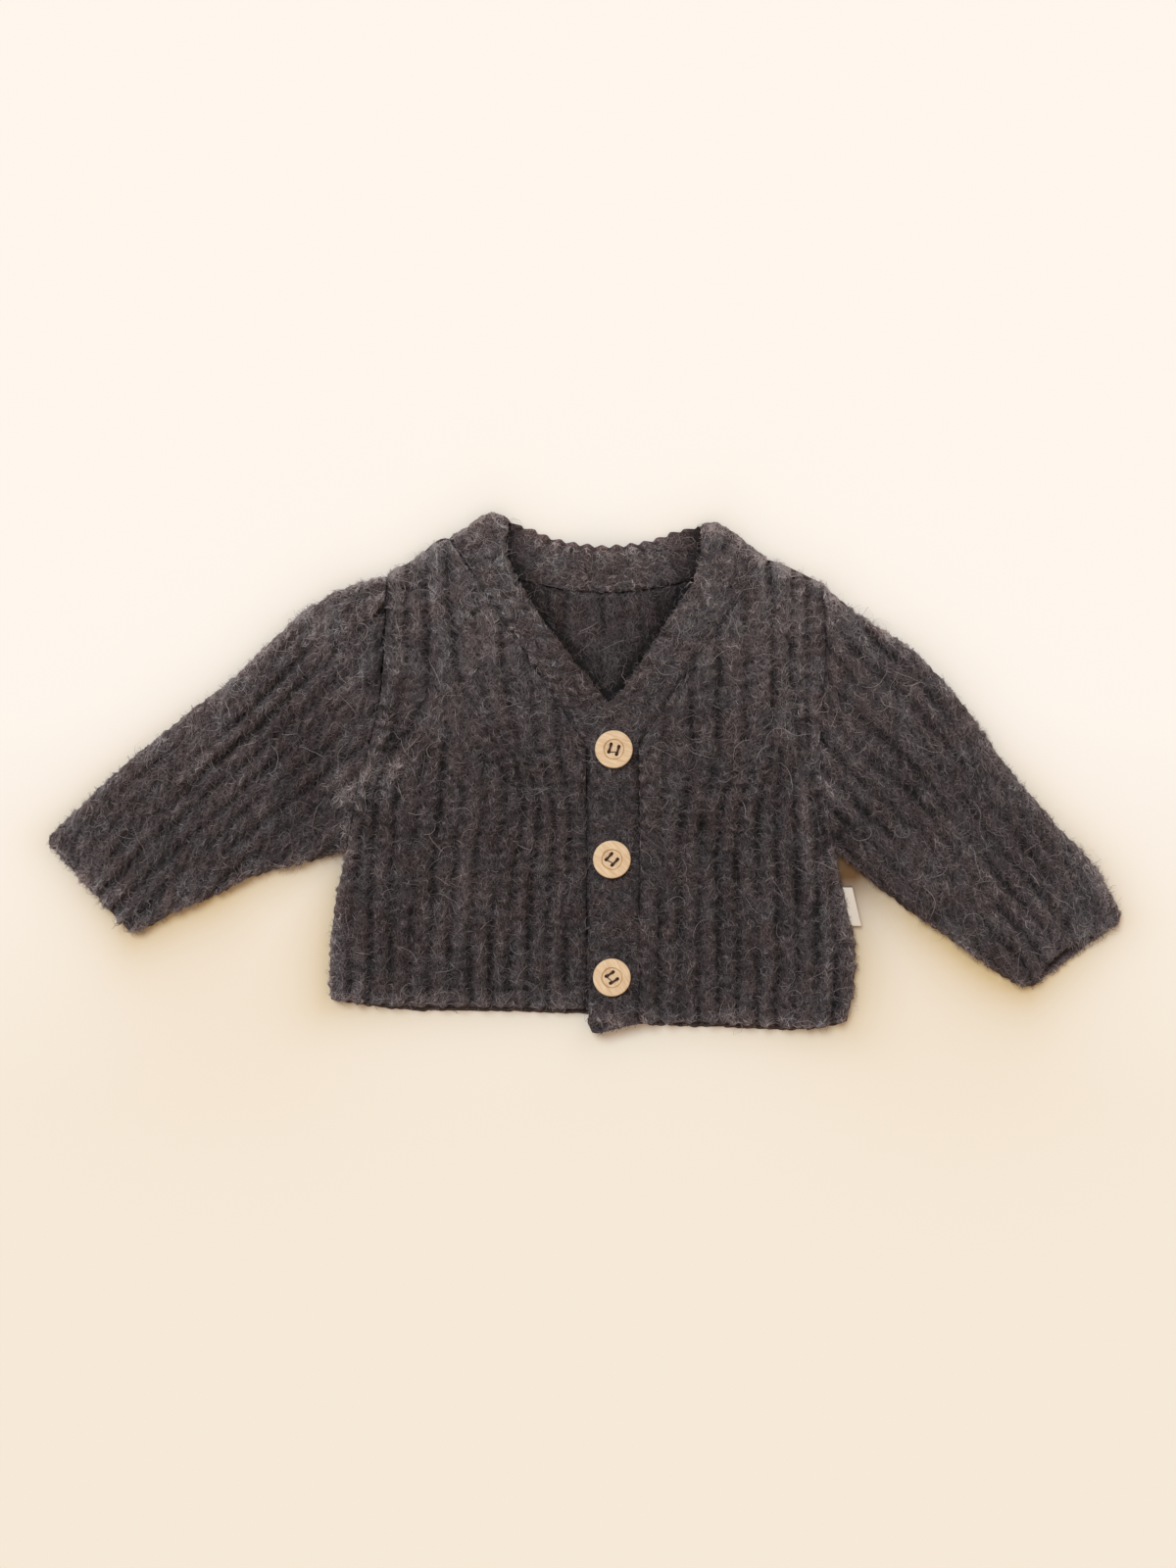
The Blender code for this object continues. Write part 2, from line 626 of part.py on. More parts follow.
def stretch_stations(seam, free, levels, ribs, bow_from):
    """Stations along one stretch, two for each cross rib."""
    length = sum(math.dist(a, b) for a, b in zip(seam, seam[1:]))
    length_free = sum(math.dist(a, b) for a, b in zip(free, free[1:]))
    count = max(round((length + length_free) / 2 / BAND_RIB_PITCH), 1)
    stations = []
    for k in range(2 * count + 1):
        share = k / (2 * count)
        seam_level, free_level = levels(share)
        rib_out, rib_in = ribs(share)
        bow = max(1 - bow_from(share) * length / FOLD_BOW_REACH, 0.0)
        stations.append(Station(along(seam, share), along(free, share), seam_level, free_level,
                                0.0, FOLD_BOW * smooth(bow), rib_out, rib_in, k % 2))
    return stations


def fold_stations(vee, neck):
    """Stations round a shoulder, where the band turns over from the V to the back neck."""
    stations = []
    for k in range(1, FOLD_STATIONS):
        share = k / FOLD_STATIONS
        seam = mix(vee.seam, neck.seam, smooth(share * 1.5))
        free = mix(vee.free, neck.free, smooth(share * 1.5))
        stations.append(Station(seam, free, 0.0, 0.0, math.pi * share, FOLD_BOW,
                                BAND_RIB * 0.5, 0.0, k % 2))
    return stations


def no_bow(_share):
    """Distance from a fold for a stretch that has none near."""
    return FOLD_BOW_REACH


def vee_levels(start):
    """Heights along a V strand that sets off at height start and ends on the lower layer."""
    def levels(share):
        settled = smooth(share / VEE_RISE_END)
        rise = settled * smooth((1 - share) / VEE_FALL)
        level = mix(start, BAND_UNDER_LEVEL, settled)
        return level + VEE_SEAM_RISE * rise, level + VEE_FREE_RISE * rise
    return levels


def neck_levels(share):
    """Heights round the back of the neck, where the free edge stands up."""
    flat = NECK_STAND_START
    stand = NECK_STAND * smooth((min(share, 1 - share) - flat) / (0.5 - flat))
    return BAND_BACK_LEVEL, BAND_BACK_LEVEL + stand


def fade_in(share, shares):
    """Height of the cross ribs where they come out from under another strand."""
    start, end = shares
    return BAND_RIB * smooth((share - start) / (end - start))


def band_stations():
    """The whole band, from the right hem up, round the neck and down to the left hem."""
    right, left = FRONTS
    right_placket = stretch_stations(
        [course.edge for course in right.courses], RIGHT_PLACKET_FREE,
        lambda share: (BAND_UNDER_LEVEL, BAND_UNDER_LEVEL), lambda share: (0.0, 0.0), no_bow)
    right_vee = stretch_stations(
        vee_line(right), RIGHT_VEE_FREE, vee_levels(BAND_UNDER_LEVEL),
        lambda share: (fade_in(share, VEE_RIB_SHARES), 0.0), lambda share: 1 - share)
    neck = stretch_stations(
        neck_line(), BACK_NECK_FREE, neck_levels,
        lambda share: (0.0, fade_in(min(share, 1 - share), NECK_RIB_SHARES)),
        lambda share: min(share, 1 - share))
    left_vee = stretch_stations(
        vee_line(left), LEFT_VEE_FREE[::-1], vee_levels(BAND_OVER_LEVEL),
        lambda share: (BAND_RIB, 0.0), lambda share: 1 - share)
    left_placket = stretch_stations(
        [*[course.edge for course in left.courses[:0:-1]], LEFT_PLACKET_END], LEFT_PLACKET_FREE,
        lambda share: (BAND_OVER_LEVEL, BAND_OVER_LEVEL), lambda share: (BAND_RIB, 0.0), no_bow)
    neck = [station._replace(roll=math.pi) for station in neck]
    return (right_placket + right_vee[1:]
            + fold_stations(right_vee[-1], neck[0])
            + neck
            + fold_stations(left_vee[-1], neck[-1])[::-1]
            + left_vee[::-1] + left_placket[1:])


# Share across the band from seam to free edge, and share of the wall's half thickness
BAND_OUTLINE = ((0.0, 1.0), (0.2, 1.0), (0.4, 1.0), (0.6, 1.0), (0.8, 1.0), (0.95, 0.75),
                (1.0, 0.0), (0.95, -0.75), (0.7, -1.0), (0.35, -1.0), (0.0, -1.0))


def band_ring(station):
    """The wall's section at a station."""
    seam, free = Vector((*station.seam, 0)), Vector((*station.free, 0))
    across = (free - seam).normalized()
    seam = seam + across * SEAM_INSET
    free = free + across * BAND_SCALLOP * (station.wave - 0.5)
    outward = Vector((-across.y, across.x, 0))
    if outward.y < 0:
        outward.negate()
    lean = math.sin(station.roll)
    flat = math.cos(station.roll)
    middle = (BAND_UNDER_LEVEL + BAND_BACK_LEVEL) / 2
    radius = (BAND_UNDER_LEVEL - BAND_BACK_LEVEL) / 2
    folding = 0 < station.roll < math.pi
    normal = outward * lean + Vector((0, 0, flat))
    ring = []
    for share, side in BAND_OUTLINE:
        if folding:
            height = middle + radius * flat
        else:
            height = mix(station.seam_level, station.free_level, share * share)
        rib = station.rib_out if side > 0 else station.rib_in
        half = BAND_WALL / 2 + rib * station.wave * (1 if abs(side) == 1 else 0.5)
        bow = station.bow * math.sin(math.pi * share ** FOLD_BOW_SKEW)
        offset = outward * (bow + radius * lean * folding)
        point = seam.lerp(free, share) + offset + normal * half * side
        ring.append((point.x, point.y, point.z + height))
    return ring


def make_band(collection):
    rings = [band_ring(station) for station in band_stations()]
    verts, faces = [], []
    numbers = add_grid(verts, faces, rings)
    for low, high in zip(numbers, numbers[1:]):
        faces.append((low[-1], low[0], high[0], high[-1]))
    faces.append(tuple(numbers[0]))
    faces.append(tuple(numbers[-1]))
    return make_piece("band", verts, faces, YARN, collection)


# --------------------------------------------------------------- buttons and label
def make_button(button, collection, cutters):
    """A turned disc with a shallow dish and four holes."""
    top = BUTTON_THICK
    profile = (
        (0.0, top - BUTTON_DISH_DEPTH),
        (BUTTON_DISH_RADIUS - 0.5, top - BUTTON_DISH_DEPTH),
        (BUTTON_DISH_RADIUS, top - 0.1),
        (BUTTON_DISH_RADIUS + 0.3, top),
        (BUTTON_RADIUS - BUTTON_EDGE, top),
        (BUTTON_RADIUS - 0.2, top - 0.25),
        (BUTTON_RADIUS, top - BUTTON_EDGE),
        (BUTTON_RADIUS, BUTTON_EDGE),
        (BUTTON_RADIUS - BUTTON_EDGE, 0.0),
        (0.0, 0.0),
    )
    mesh = bpy.data.meshes.new(button.name)
    points = [(radius * MM, 0, height * MM) for radius, height in profile]
    mesh.from_pydata(points, [(k, k + 1) for k in range(len(profile) - 1)], [])
    mesh.materials.append(make_material(*BUTTON_WOOD))
    piece = bpy.data.objects.new(button.name, mesh)
    collection.objects.link(piece)
    x, y = (c + s for c, s in zip(button.place, CENTRE_SHIFT))
    piece.location = (x * MM, y * MM, BUTTON_SEAT * MM)
    piece.rotation_euler.z = math.radians(button.turn_deg)
    turn = piece.modifiers.new("turned", "SCREW")
    turn.steps = turn.render_steps = BUTTON_SEGMENTS
    turn.use_merge_vertices = True
    turn.merge_threshold = 1e-5
    drill = piece.modifiers.new("holes", "BOOLEAN")
    drill.object = make_drill(button, piece, cutters)
    return piece


def make_drill(button, piece, cutters):
    """Four pins in a square, which cut a button's holes."""
    work = bmesh.new()
    for side_x in (-1, 1):
        for side_y in (-1, 1):
            pin = bmesh.ops.create_cone(
                work, cap_ends=True, segments=10, depth=2 * BUTTON_THICK * MM,
                radius1=BUTTON_HOLE_RADIUS * MM, radius2=BUTTON_HOLE_RADIUS * MM)
            offset = (side_x * BUTTON_HOLE_OFFSET, side_y * BUTTON_HOLE_OFFSET, BUTTON_THICK / 2)
            bmesh.ops.translate(work, verts=pin["verts"], vec=Vector(offset) * MM)
    mesh = bpy.data.meshes.new(button.name + "_drill")
    work.to_mesh(mesh)
    work.free()
    drill = bpy.data.objects.new(mesh.name, mesh)
    drill.location = piece.location
    drill.rotation_euler = piece.rotation_euler
    drill.hide_render = True
    drill.display_type = "WIRE"
    cutters.objects.link(drill)
    return drill


def make_label(collection):
    """A short tab of folded tape that stands out of the left side seam."""
    mesh = bpy.data.meshes.new("label")
    corners = [corner for edge in LABEL_EDGES for corner in edge]
    points = [tuple((c + s) * MM for c, s in zip(corner, CENTRE_SHIFT)) for corner in corners]
    mesh.from_pydata([(*point, LABEL_LEVEL * MM) for point in points], [],
                     [(0, 2, 3, 1), (2, 4, 5, 3)])
    mesh.materials.append(make_material(*LABEL_TAPE))
    label = bpy.data.objects.new("label", mesh)
    collection.objects.link(label)
    thick = label.modifiers.new("tape", "SOLIDIFY")
    thick.thickness = LABEL_THICK * MM
    thick.offset = 0.0
    return label


def new_collection(name):
    collection = bpy.data.collections.new(name)
    bpy.context.scene.collection.children.link(collection)
    return collection


def main():
    for old in list(bpy.context.scene.objects):
        bpy.data.objects.remove(old, do_unlink=True)
    cardigan = new_collection("baby_cardigan")
    cutters = new_collection("cutters")
    make_back(cardigan)
    for front in FRONTS:
        make_front(front, cardigan)
    make_sleeve("sleeve_right", RIGHT_SLEEVE, RIGHT_COURSES, 0.0, cardigan)
    make_sleeve("sleeve_left", LEFT_SLEEVE, LEFT_COURSES, LEFT_CUFF_OPEN, cardigan)
    make_band(cardigan)
    for button in BUTTONS:
        make_button(button, cardigan, cutters)
    make_label(cardigan)


main()
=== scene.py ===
"""Looks of a baby cardigan in chunky rib knit, buttoned and laid flat on its back.

Tables and sizes are in millimetres on the surface that the cardigan lies on: +X points
along the wearer's left sleeve, +Y to the neck and +Z up. Each knit piece is a fine closed
mesh on the form of its solid, from the same tables: ribs, stitches and fuzz are raised
from a smooth surface, and loose fibres lie on it. Arrays of points are numpy grids whose
rows run along the ribs and whose columns run across them.
"""
import math
from collections import namedtuple

import bmesh
import bpy
import numpy as np
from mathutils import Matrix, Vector


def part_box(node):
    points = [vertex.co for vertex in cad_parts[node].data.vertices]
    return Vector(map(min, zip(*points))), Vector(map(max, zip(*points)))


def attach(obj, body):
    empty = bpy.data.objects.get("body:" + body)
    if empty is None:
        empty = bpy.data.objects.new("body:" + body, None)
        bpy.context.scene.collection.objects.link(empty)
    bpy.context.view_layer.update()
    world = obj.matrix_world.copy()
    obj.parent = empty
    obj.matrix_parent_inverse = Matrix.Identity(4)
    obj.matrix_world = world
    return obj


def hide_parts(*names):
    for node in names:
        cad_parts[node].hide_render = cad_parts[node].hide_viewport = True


MM = 0.001
BODY = "root"
TINY = 1e-9               # least length that a vector is divided by
PATH_DENSITY = 16         # points for each point of a table, to lay a curve through it
PLACE_DENSITY = 40        # the same to measure a curve

# ------------------------------------------------------------------ the knit layers
WALL = 3.0                # knit wall in a groove between two ribs
RIB = 1.2                 # height of a rib over its groove, as in the solids
GAP = 0.3                 # clearance between two pieces
SEAM_INSET = 0.4          # how far sleeves and band keep back from a seam line
UPPER = WALL + GAP        # underside of the upper layer where it touches the lower
EDGE_WALL = 1.0           # wall left at a folded edge
EDGE_ROLL = 4.0           # width over which the outer face rolls down to that edge
EDGE_EASE = 12.0          # width over which the upper layer comes down to its edge
HEM_ROLL = 2.2            # width over which a cut hem rounds down
HEM_DROP = 1.3            # how far the outer face comes down there
LOFT = 1.0                # how high the upper layer floats over the lower one
RIM_BULGE = 0.3           # how far the rim of a panel bulges out between its two faces

# ---------------------------------------------------------------------- knit relief
RIB_PITCH = 9.8           # usual distance between two grooves
GROOVE_WIDTH = 2.1        # half width of a groove
GROOVE_DEPTH = 2.6
GROOVE_PIT = 0.25         # share by which a groove is deeper at each stitch
GROOVE_STRENGTH = (0.9, 0.65)  # mean share of that depth, and how far it changes
STRENGTH_SIZE = (9.0, 26.0)    # over patches of this size, across and along the ribs
GROOVE_SHARES = (0.82, 0.68)   # shares of that depth low on a front and on its chest
CHEST = (-40.0, 20.0)     # heights on the garment between which they change over
BACK_SHARE = 0.42         # and on the face of the back that shows in the neck
CREST_FALL = 0.5          # how much a rib's crest rounds away towards its grooves
STITCH_PITCH = 5.5        # length of one stitch along a rib
STITCH_HEIGHT = 0.75
STITCH_SLANT = 0.25       # how far, in stitches, a stitch trails at its groove
STITCH_STRAY = 0.6        # how far, in stitches, it strays
STRAY_SIZE = (9.0, 11.0)
STITCH_ROUND = 0.7        # power that rounds a stitch's swell
STITCH_LEVEL = 0.6        # its mean height, which is taken off
RIB_STRIDE = (3.7, 1.3)   # steps in the noise from rib to rib, for where its stitches start
CLUMP_SIZE = (2.4, 3.2)   # felted clumps, across and along the ribs
CLUMP_HEIGHT = 0.65
FUZZ_SIZE = (1.2, 1.5)
FUZZ_HEIGHT = 0.4
WOBBLE = 1.0              # how far a groove wanders sideways
WOBBLE_SIZE = (30.0, 14.0)
WOBBLE_SEED = 8
SCALLOP = 0.75            # how far the stitches stand out of an edge
SCALLOP_LEVEL = 0.75      # mean of their wave, which is taken off
SCALLOP_NOISE = 0.7       # how uneven it is
SCALLOP_NOISE_SIZE = (3.1, 1.0)
SCALLOP_SEED = 77
SCALLOP_LINES = 8         # lines of points next to the edge that are drawn out with it
UNDER_INSET = 0.8         # how much further in the under side of a hem ends
HEM_INSET = 0.5           # how far a cut hem draws in where it rolls
HEM_LIGHT = 2.0           # tone of the wool in a hem's edge, where light comes through
SCALLOP_REACH = 3.5       # how far in from the edge they are drawn out
CORNER = 4.5              # radius to which a corner rounds off
CORNER_LINES = 6          # lines of points that give the directions of its sides
NOISE_CELLS = 512
UNDER_SEED = 20           # step to the seed of the same piece's under side

# Seams: how far their sewing draws the knit in, over what width, and how dark it looks
SEAM_DEPTH = 0.9
SEAM_WIDTH = 1.7
SEAM_SHADE = (0.5, 0.6)   # mean and change, over lengths of this size
SEAM_SHADE_SIZE = (20.0, 12.0)
SEAM_SEED = 83
ARMHOLE_SLACK = 0.2       # share of that at the underarm
ARMHOLE_HOLD = (20.0, 50.0)  # heights on the garment between which it gets firm

# Tone of the wool, where 1 leaves its colours as they are; it carries painted light and shade too
TONE = 0.885
# How much lighter it gets up the garment: (share, from this height, to this one)
TONE_RISES = ((0.385, -20.0, 120.0), (0.17, 50.0, 110.0))
TONE_PATCHES = 0.06
TONE_PATCH_SIZE = (26.0, 34.0)
TONE_SEED = 5
CREASE_LIGHT = 0.2        # painted light and shade: share by which a crease of 1 mm is lighter or darker
HOLLOW_SHADE = 0.72       # painted shade: share by which a full hollow is darker
RIM_LIGHT = 0.95          # partly brushed fuzz, partly painted highlight along the outline
RIM_REACH = 2.3
# How hollow a full groove looks, how much less so a stitch, a clump and the fuzz, and the
# least value on a crest
Hollow = namedtuple("Hollow", "groove stitch clump fuzz crest")
HOLLOW = Hollow(1.2, 0.42, 0.45, 0.2, -0.6)
# How brown rather than grey the wool is
WARMTH = 0.4
WARMTH_PATCHES = 0.45
WARMTH_SIZE = (7.0, 9.0)
WARMTH_SEED = 6
RIM_WARMTH = 0.6          # how much more so along the outline

# The bake map holds a piece's grids below, side by side, and its joins in strips on top
BAKE_TOP = 0.96
BAKE_SEAMS = (0.97, 0.98)
BAKE_STRIP = 0.008
STITCH_MAP_SIZE = 600.0   # length round a join in the knit map, in millimetres

# Spacing of the fine meshes' points
FINE = 0.8
UNDER_COLUMNS = 14        # points across the plain inner face of a front
UNDER_STEP = 4            # rows of its outer face for each of its own

# -------------------------------------------------------------------------- fibres
# Millimetres, with spread in radians and curl in radians a millimetre. area is the knit
# for each fibre, rise how far it bows up between its ends, tip how far its end may stand
# up, halo how far it may run out over an edge, pale how much lighter it is than the wool,
# up to 1, and gather how much the fibres gather in wisps.
Fibres = namedtuple("Fibres", "area stations length width spread curl rise tip halo pale gather")
TUFTS = Fibres(2.3, 3, (1.8, 4.5), (0.25, 0.60), 0.8, 0.5, 0.35, 0.3, 0.7, 0.0, 0.0)
STRANDS = Fibres(5.4, 4, (3.0, 8.0), (0.12, 0.24), 0.9, 0.35, 0.6, 0.6, 2.0, 0.05, 0.8)
LONG_HAIRS = Fibres(105.0, 12, (5.0, 20.0), (0.09, 0.17), 1.2, 0.16, 1.5, 2.5, 4.0, 0.32, 2.0)
TUFTS_SEED = 100
STRANDS_SEED = 150
LONG_HAIRS_SEED = 200
WISP_SIZE = (13.0, 13.0)
DARKEST_WOOL = 0.1        # least tone that counts for how many fibres lie there
BRIGHT_CROWD = 1.3        # power of the tone by which they crowd on light wool
# Tone of a fibre: its part by chance, the power that skews it, and the part of the wool
FIBRE_TONE = (0.42, 1.4, 0.36)
FIBRE_HUE = 0.7           # how much its hue is that of the wool below
FIBRE_LIFT = 0.1
FIBRE_STRAY = 0.6         # how unsteady its curl is
FIBRE_TAPER = 0.7
MAP_WIDTH = 0.004         # half the width of a fibre in its map
MAP_LENGTH = 0.15

# ------------------------------------------------------------------------- fronts
# Each row is one course, from hem to top: the side seam and then the armhole, the
# bounds of the ribs that open out under the chest, and the seam with the band.
Course = namedtuple("Course", "side outer inner edge")
RIGHT_COURSES = (
    Course((-128.8, -116.3), (-109.5, -118.0), (-47.5, -119.5), (0.5, -120.5)),
    Course((-129.0, -98.5), (-109.0, -98.5), (-47.5, -98.5), (0.5, -102.0)),
    Course((-128.0, -81.0), (-109.0, -76.0), (-47.0, -73.5), (0.5, -82.5)),
    Course((-125.0, -58.5), (-108.0, -52.5), (-44.5, -46.0), (0.5, -63.5)),
    Course((-120.5, -40.0), (-106.5, -31.0), (-41.5, -25.0), (0.5, -50.0)),
    Course((-117.0, -23.0), (-105.5, -10.0), (-40.0, -6.0), (0.5, -37.0)),
    Course((-113.0, -4.0), (-97.5, 10.0), (-44.5, 12.0), (0.5, -24.5)),
    Course((-108.0, 15.5), (-86.5, 26.5), (-54.5, 30.0), (0.5, -13.5)),
    Course((-103.0, 40.5), (-79.5, 48.0), (-64.0, 54.0), (0.5, -3.5)),
    Course((-101.0, 69.0), (-80.5, 78.0), (-68.0, 85.0), (0.5, 5.5)),
    Course((-100.0, 100.0), (-80.0, 112.5), (-70.0, 119.0), (0.5, 13.0)),
)
LEFT_COURSES = (
    Course((133.0, -127.5), (116.5, -130.5), (78.0, -128.0), (28.0, -127.5)),
    Course((136.5, -108.5), (117.5, -107.5), (78.0, -105.0), (28.0, -107.5)),
    Course((137.0, -88.5), (118.0, -83.5), (77.5, -78.5), (28.0, -86.0)),
    Course((132.5, -68.5), (118.5, -58.5), (77.5, -52.5), (28.0, -66.0)),
    Course((127.0, -40.0), (118.0, -31.0), (78.5, -28.5), (28.0, -50.0)),
    Course((123.5, -22.5), (115.0, -12.0), (82.0, -7.5), (28.0, -36.5)),
    Course((120.0, -3.5), (110.5, 7.0), (89.5, 12.0), (28.0, -24.0)),
    Course((118.5, 16.0), (106.5, 27.0), (95.0, 30.5), (28.0, -13.0)),
    Course((120.5, 39.5), (105.0, 49.5), (95.0, 54.5), (28.0, -3.0)),
    Course((121.5, 67.0), (105.0, 76.0), (94.5, 82.0), (28.0, 6.5)),
    Course((121.0, 96.0), (105.5, 102.5), (93.5, 108.0), (28.0, 14.5)),
)
UNDERARM_COURSE = 4
CLOSING_COURSES = (5.5, 7.0)  # between these the opened ribs close up into one
LAST_COURSE = len(RIGHT_COURSES) - 1
ARMHOLE_START = 0.3       # courses before and after the underarm in which its seam begins
FRONT_WALL = 0.6          # least height of a front's outer face over UPPER
INNER_TONE = 0.7          # tone of its plain inner face

# The samples are the numbers of points across each group of ribs.
Front = namedtuple("Front", "name courses outer_rib inner_rib edge_rib samples seed")
FRONTS = (
    Front("front_right", RIGHT_COURSES, 2, 8, 13, (24, 66, 78), 11),
    Front("front_left", LEFT_COURSES, 2, 6, 11, (22, 46, 76), 23),
)

# --------------------------------------------------------------------------- back
BackLine = namedtuple("BackLine", "hem top")
BACK_LINES = (
    BackLine((-128.8, -116.3), (-100.0, 100.0)),
    BackLine((-109.0, -119.0), (-85.0, 109.5)),
    BackLine((-88.5, -121.0), (-70.0, 119.0)),
    BackLine((-59.0, -121.5), (-51.0, 104.0)),
    BackLine((-35.0, -122.0), (-33.5, 98.0)),
    BackLine((-10.0, -122.5), (-12.0, 93.5)),
    BackLine((12.0, -124.0), (10.0, 91.5)),
    BackLine((33.0, -128.5), (34.0, 93.5)),
    BackLine((57.0, -129.5), (55.0, 98.0)),
    BackLine((82.0, -130.0), (74.0, 103.5)),
    BackLine((112.0, -131.0), (93.5, 108.0)),
    BackLine((133.0, -127.5), (121.0, 96.0)),
)
BACK_NECK = (2, 10)       # the lines between which the top is the back neck
BACK_RIBS = 26
BACK_SIZE = (262.0, 230.0)  # rough width and length, for the number of its points
BACK_EDGE_INSET = 1.2     # how far the under side keeps back from the rim
INSET_SHARE = 0.6         # and at most this share of a cell
BACK_EDGE_EASE = 3.0      # width over which the relief starts at the rim
BACK_RIM_LEVEL = 0.3      # the rim's middle line lies half way down to this height
BACK_PIT = 1.5            # depth of its grooves on the face that shows in the neck
BACK_PEAK = 0.15          # and height at which its relief is cut off below the fronts
BACK_SEED = 37
BACK_LIGHT = 0.57         # painted shade: how light its wool is made under the fronts and in the neck
BACK_HOLLOW = 0.8         # how much of their shade its hollows keep
# Shade beside the strands of the V: how dark on the back, how wide beside the right and
# the left strand, and how much wider and then narrower for each millimetre down
BACK_SHADE = 0.75
VEE_SHADE_REACH = (4.5, 6.5)
VEE_SHADE_TOP = 116       # height on the garment from which that is counted
VEE_SHADE_WIDENS = 0.12
VEE_WIDE_DOWN = 26
VEE_SHADE_NARROWS = 0.1
VEE_NARROW_DOWN = (36, 50)  # where that starts, and over what length
# Where the back shows in the neck opening and needs a fine mesh
SHOWN_LINES = (3.2, 8.9)
SHOWN_ROWS = (6.8, 10.0)
BACK_COARSE = 3.2         # spacing of its rows where it is covered
BACK_SIDES = 1.3          # and of its columns there
BACK_HEM_ROWS = 5         # fine rows at the hem
BACK_UNDER_COLUMNS = 118
BACK_UNDER_ROWS = 96

# ------------------------------------------------------------------------- sleeves
# From armhole to cuff: the ends of a section on the upper and the underarm edge, and
# how many ribs lie before each of them.
Section = namedtuple("Section", "over under rib_over rib_under")
RIGHT_SLEEVE = (
    Section((-100.0, 100.0), (-120.5, -40.0), 2.0, 10.4),
    Section((-126.0, 92.0), (-136.0, -44.3), 0.9, 10.0),
    Section((-151.0, 74.5), (-153.5, -48.5), 0.2, 9.4),
    Section((-178.5, 48.0), (-171.0, -53.7), 0.0, 8.8),
    Section((-203.5, 29.0), (-187.5, -62.7), 0.0, 8.2),
    Section((-238.5, 0.0), (-208.5, -71.3), 0.0, 7.3),
    Section((-256.0, -17.0), (-219.0, -77.0), 0.0, 6.9),
    Section((-273.5, -34.0), (-230.0, -82.0), 0.0, 6.5),
)
LEFT_SLEEVE = (
    Section((121.0, 96.0), (127.0, -40.0), 1.3, 9.6),
    Section((143.6, 77.2), (138.0, -49.0), 0.5, 9.4),
    Section((168.5, 61.0), (153.5, -61.5), 0.1, 9.2),
    Section((190.5, 37.2), (169.0, -73.0), 0.0, 8.7),
    Section((207.5, 12.8), (182.5, -82.5), 0.0, 8.1),
    Section((237.0, -23.5), (204.0, -98.0), 0.0, 7.4),
    Section((259.5, -48.0), (216.0, -105.5), 0.0, 7.0),
    Section((272.8, -74.7), (226.0, -109.8), 0.3, 6.2),
)
# rib_depth is the share of a full groove
Sleeve = namedtuple("Sleeve", "name rows courses cuff_open rib_depth seed")
SLEEVES = (
    Sleeve("sleeve_right", RIGHT_SLEEVE, RIGHT_COURSES, 0.0, 0.52, 41),
    Sleeve("sleeve_left", LEFT_SLEEVE, LEFT_COURSES, 4.5, 0.6, 59),
)
SLEEVE_LIGHT = 1.06       # how much lighter the sleeves' wool is than the fronts'
SLEEVE_EDGE_RIBS = 0.4    # share of their depth that the ribs keep along the upper edge
SLEEVE_FULL_RIBS = (0.5, 2.5)  # ribs from that edge between which they get their full depth
SLEEVE_PATCHES = 0.4      # how far their depth changes, over patches of this size
SLEEVE_PATCH_SIZE = (24.0, 30.0)
SLEEVE_PATCH_SEED = 9
SLEEVE_BEND = 0.5         # share of the length over which the armhole curve fades
SEAM_INSET_REACH = 6.0    # length of a sleeve over which SEAM_INSET fades
SLEEVE_HOLLOW = 3.5       # how far the hollow keeps back from the folded edges
SLEEVE_STEP = 0.95        # spacing of its rows
EDGE_CROWD = 0.5          # how much its columns crowd towards the folded edges
CUFF_PITCH = 3.6          # distance between the scallops round a cuff
CUFF_GAPE = 3.0           # how much further an open cuff gapes towards its under edge
CUFF_DRAWN = 0.5          # sections from its end in which it is drawn back
CUFF_GLOW = 4.0           # how far light reaches into an open cuff
CUFF_TONES = (1.7, 0.6)   # painted light at its mouth and painted shade deep inside
SLEEVE_UPPER_COLUMNS = 112
SLEEVE_UNDER_COLUMNS = 56
HOLLOW_COLUMNS = 30
SHOWN_CUFF = 9            # rows of the lower layer that show in an open cuff
FOLD_LEVEL = 2.1          # height of the outermost line of a folded edge
UNDER_ROLL = 2.0          # width over which the under side rounds up to it
UNDER_GROOVE = 0.35       # share of the relief on a side that lies on the table
UNDER_MAP_SHIFT = (200.0, 0.0)  # from the upper to the under side in the knit map

# --------------------------------------------------------------------------- folds
# Soft ridges and troughs of the upper layer, each along a line.
Fold = namedtuple("Fold", "start end width height")
FOLDS = (
    Fold((-70, -37), (-90, -68), 8, -1.0),       # drag line from the right underarm
    Fold((-78, -45), (-84, -109), 9, -0.7),      # hollow down the right front
    Fold((-62, -22), (-58, -60), 10, 0.7),
    Fold((-72, 42), (-68, 14), 15, 0.9),         # swell where the ribs open out
    Fold((-107, 55), (-117, -10), 8, 1.4),       # ridge along the right armhole
    Fold((-133, 44), (-145, -24), 12, -1.0),     # hollow at the top of that sleeve
    Fold((-170, 5), (-235, -45), 16, 0.6),
    Fold((-9, 0), (-9, -63), 6, -0.6),           # hollow beside the buttons
    Fold((124, 70), (128, 20), 8, 1.2),          # ridge along the left armhole
    Fold((122, 10), (118, -25), 7, 1.0),         # gather at the left underarm
    Fold((158, 5), (162, -25), 13, -1.0),
    Fold((192, 40), (208, 10), 14, 1.3),         # elbow swell of the left sleeve
    Fold((134, -35), (174, -66), 7, -0.9),       # crease under the left arm
    Fold((205, -40), (235, -75), 15, 0.5),
    Fold((69, -39), (79, -83), 9, -0.8),         # long hollow down the left front
    Fold((79, -83), (102, -118), 9, -0.8),
    Fold((96, -40), (104, -80), 9, 0.6),
    Fold((29, -126), (29, 4), 9, 2.1),           # the left front rides up on the band
    Fold((38, 22), (62, 58), 9, 0.9),
)
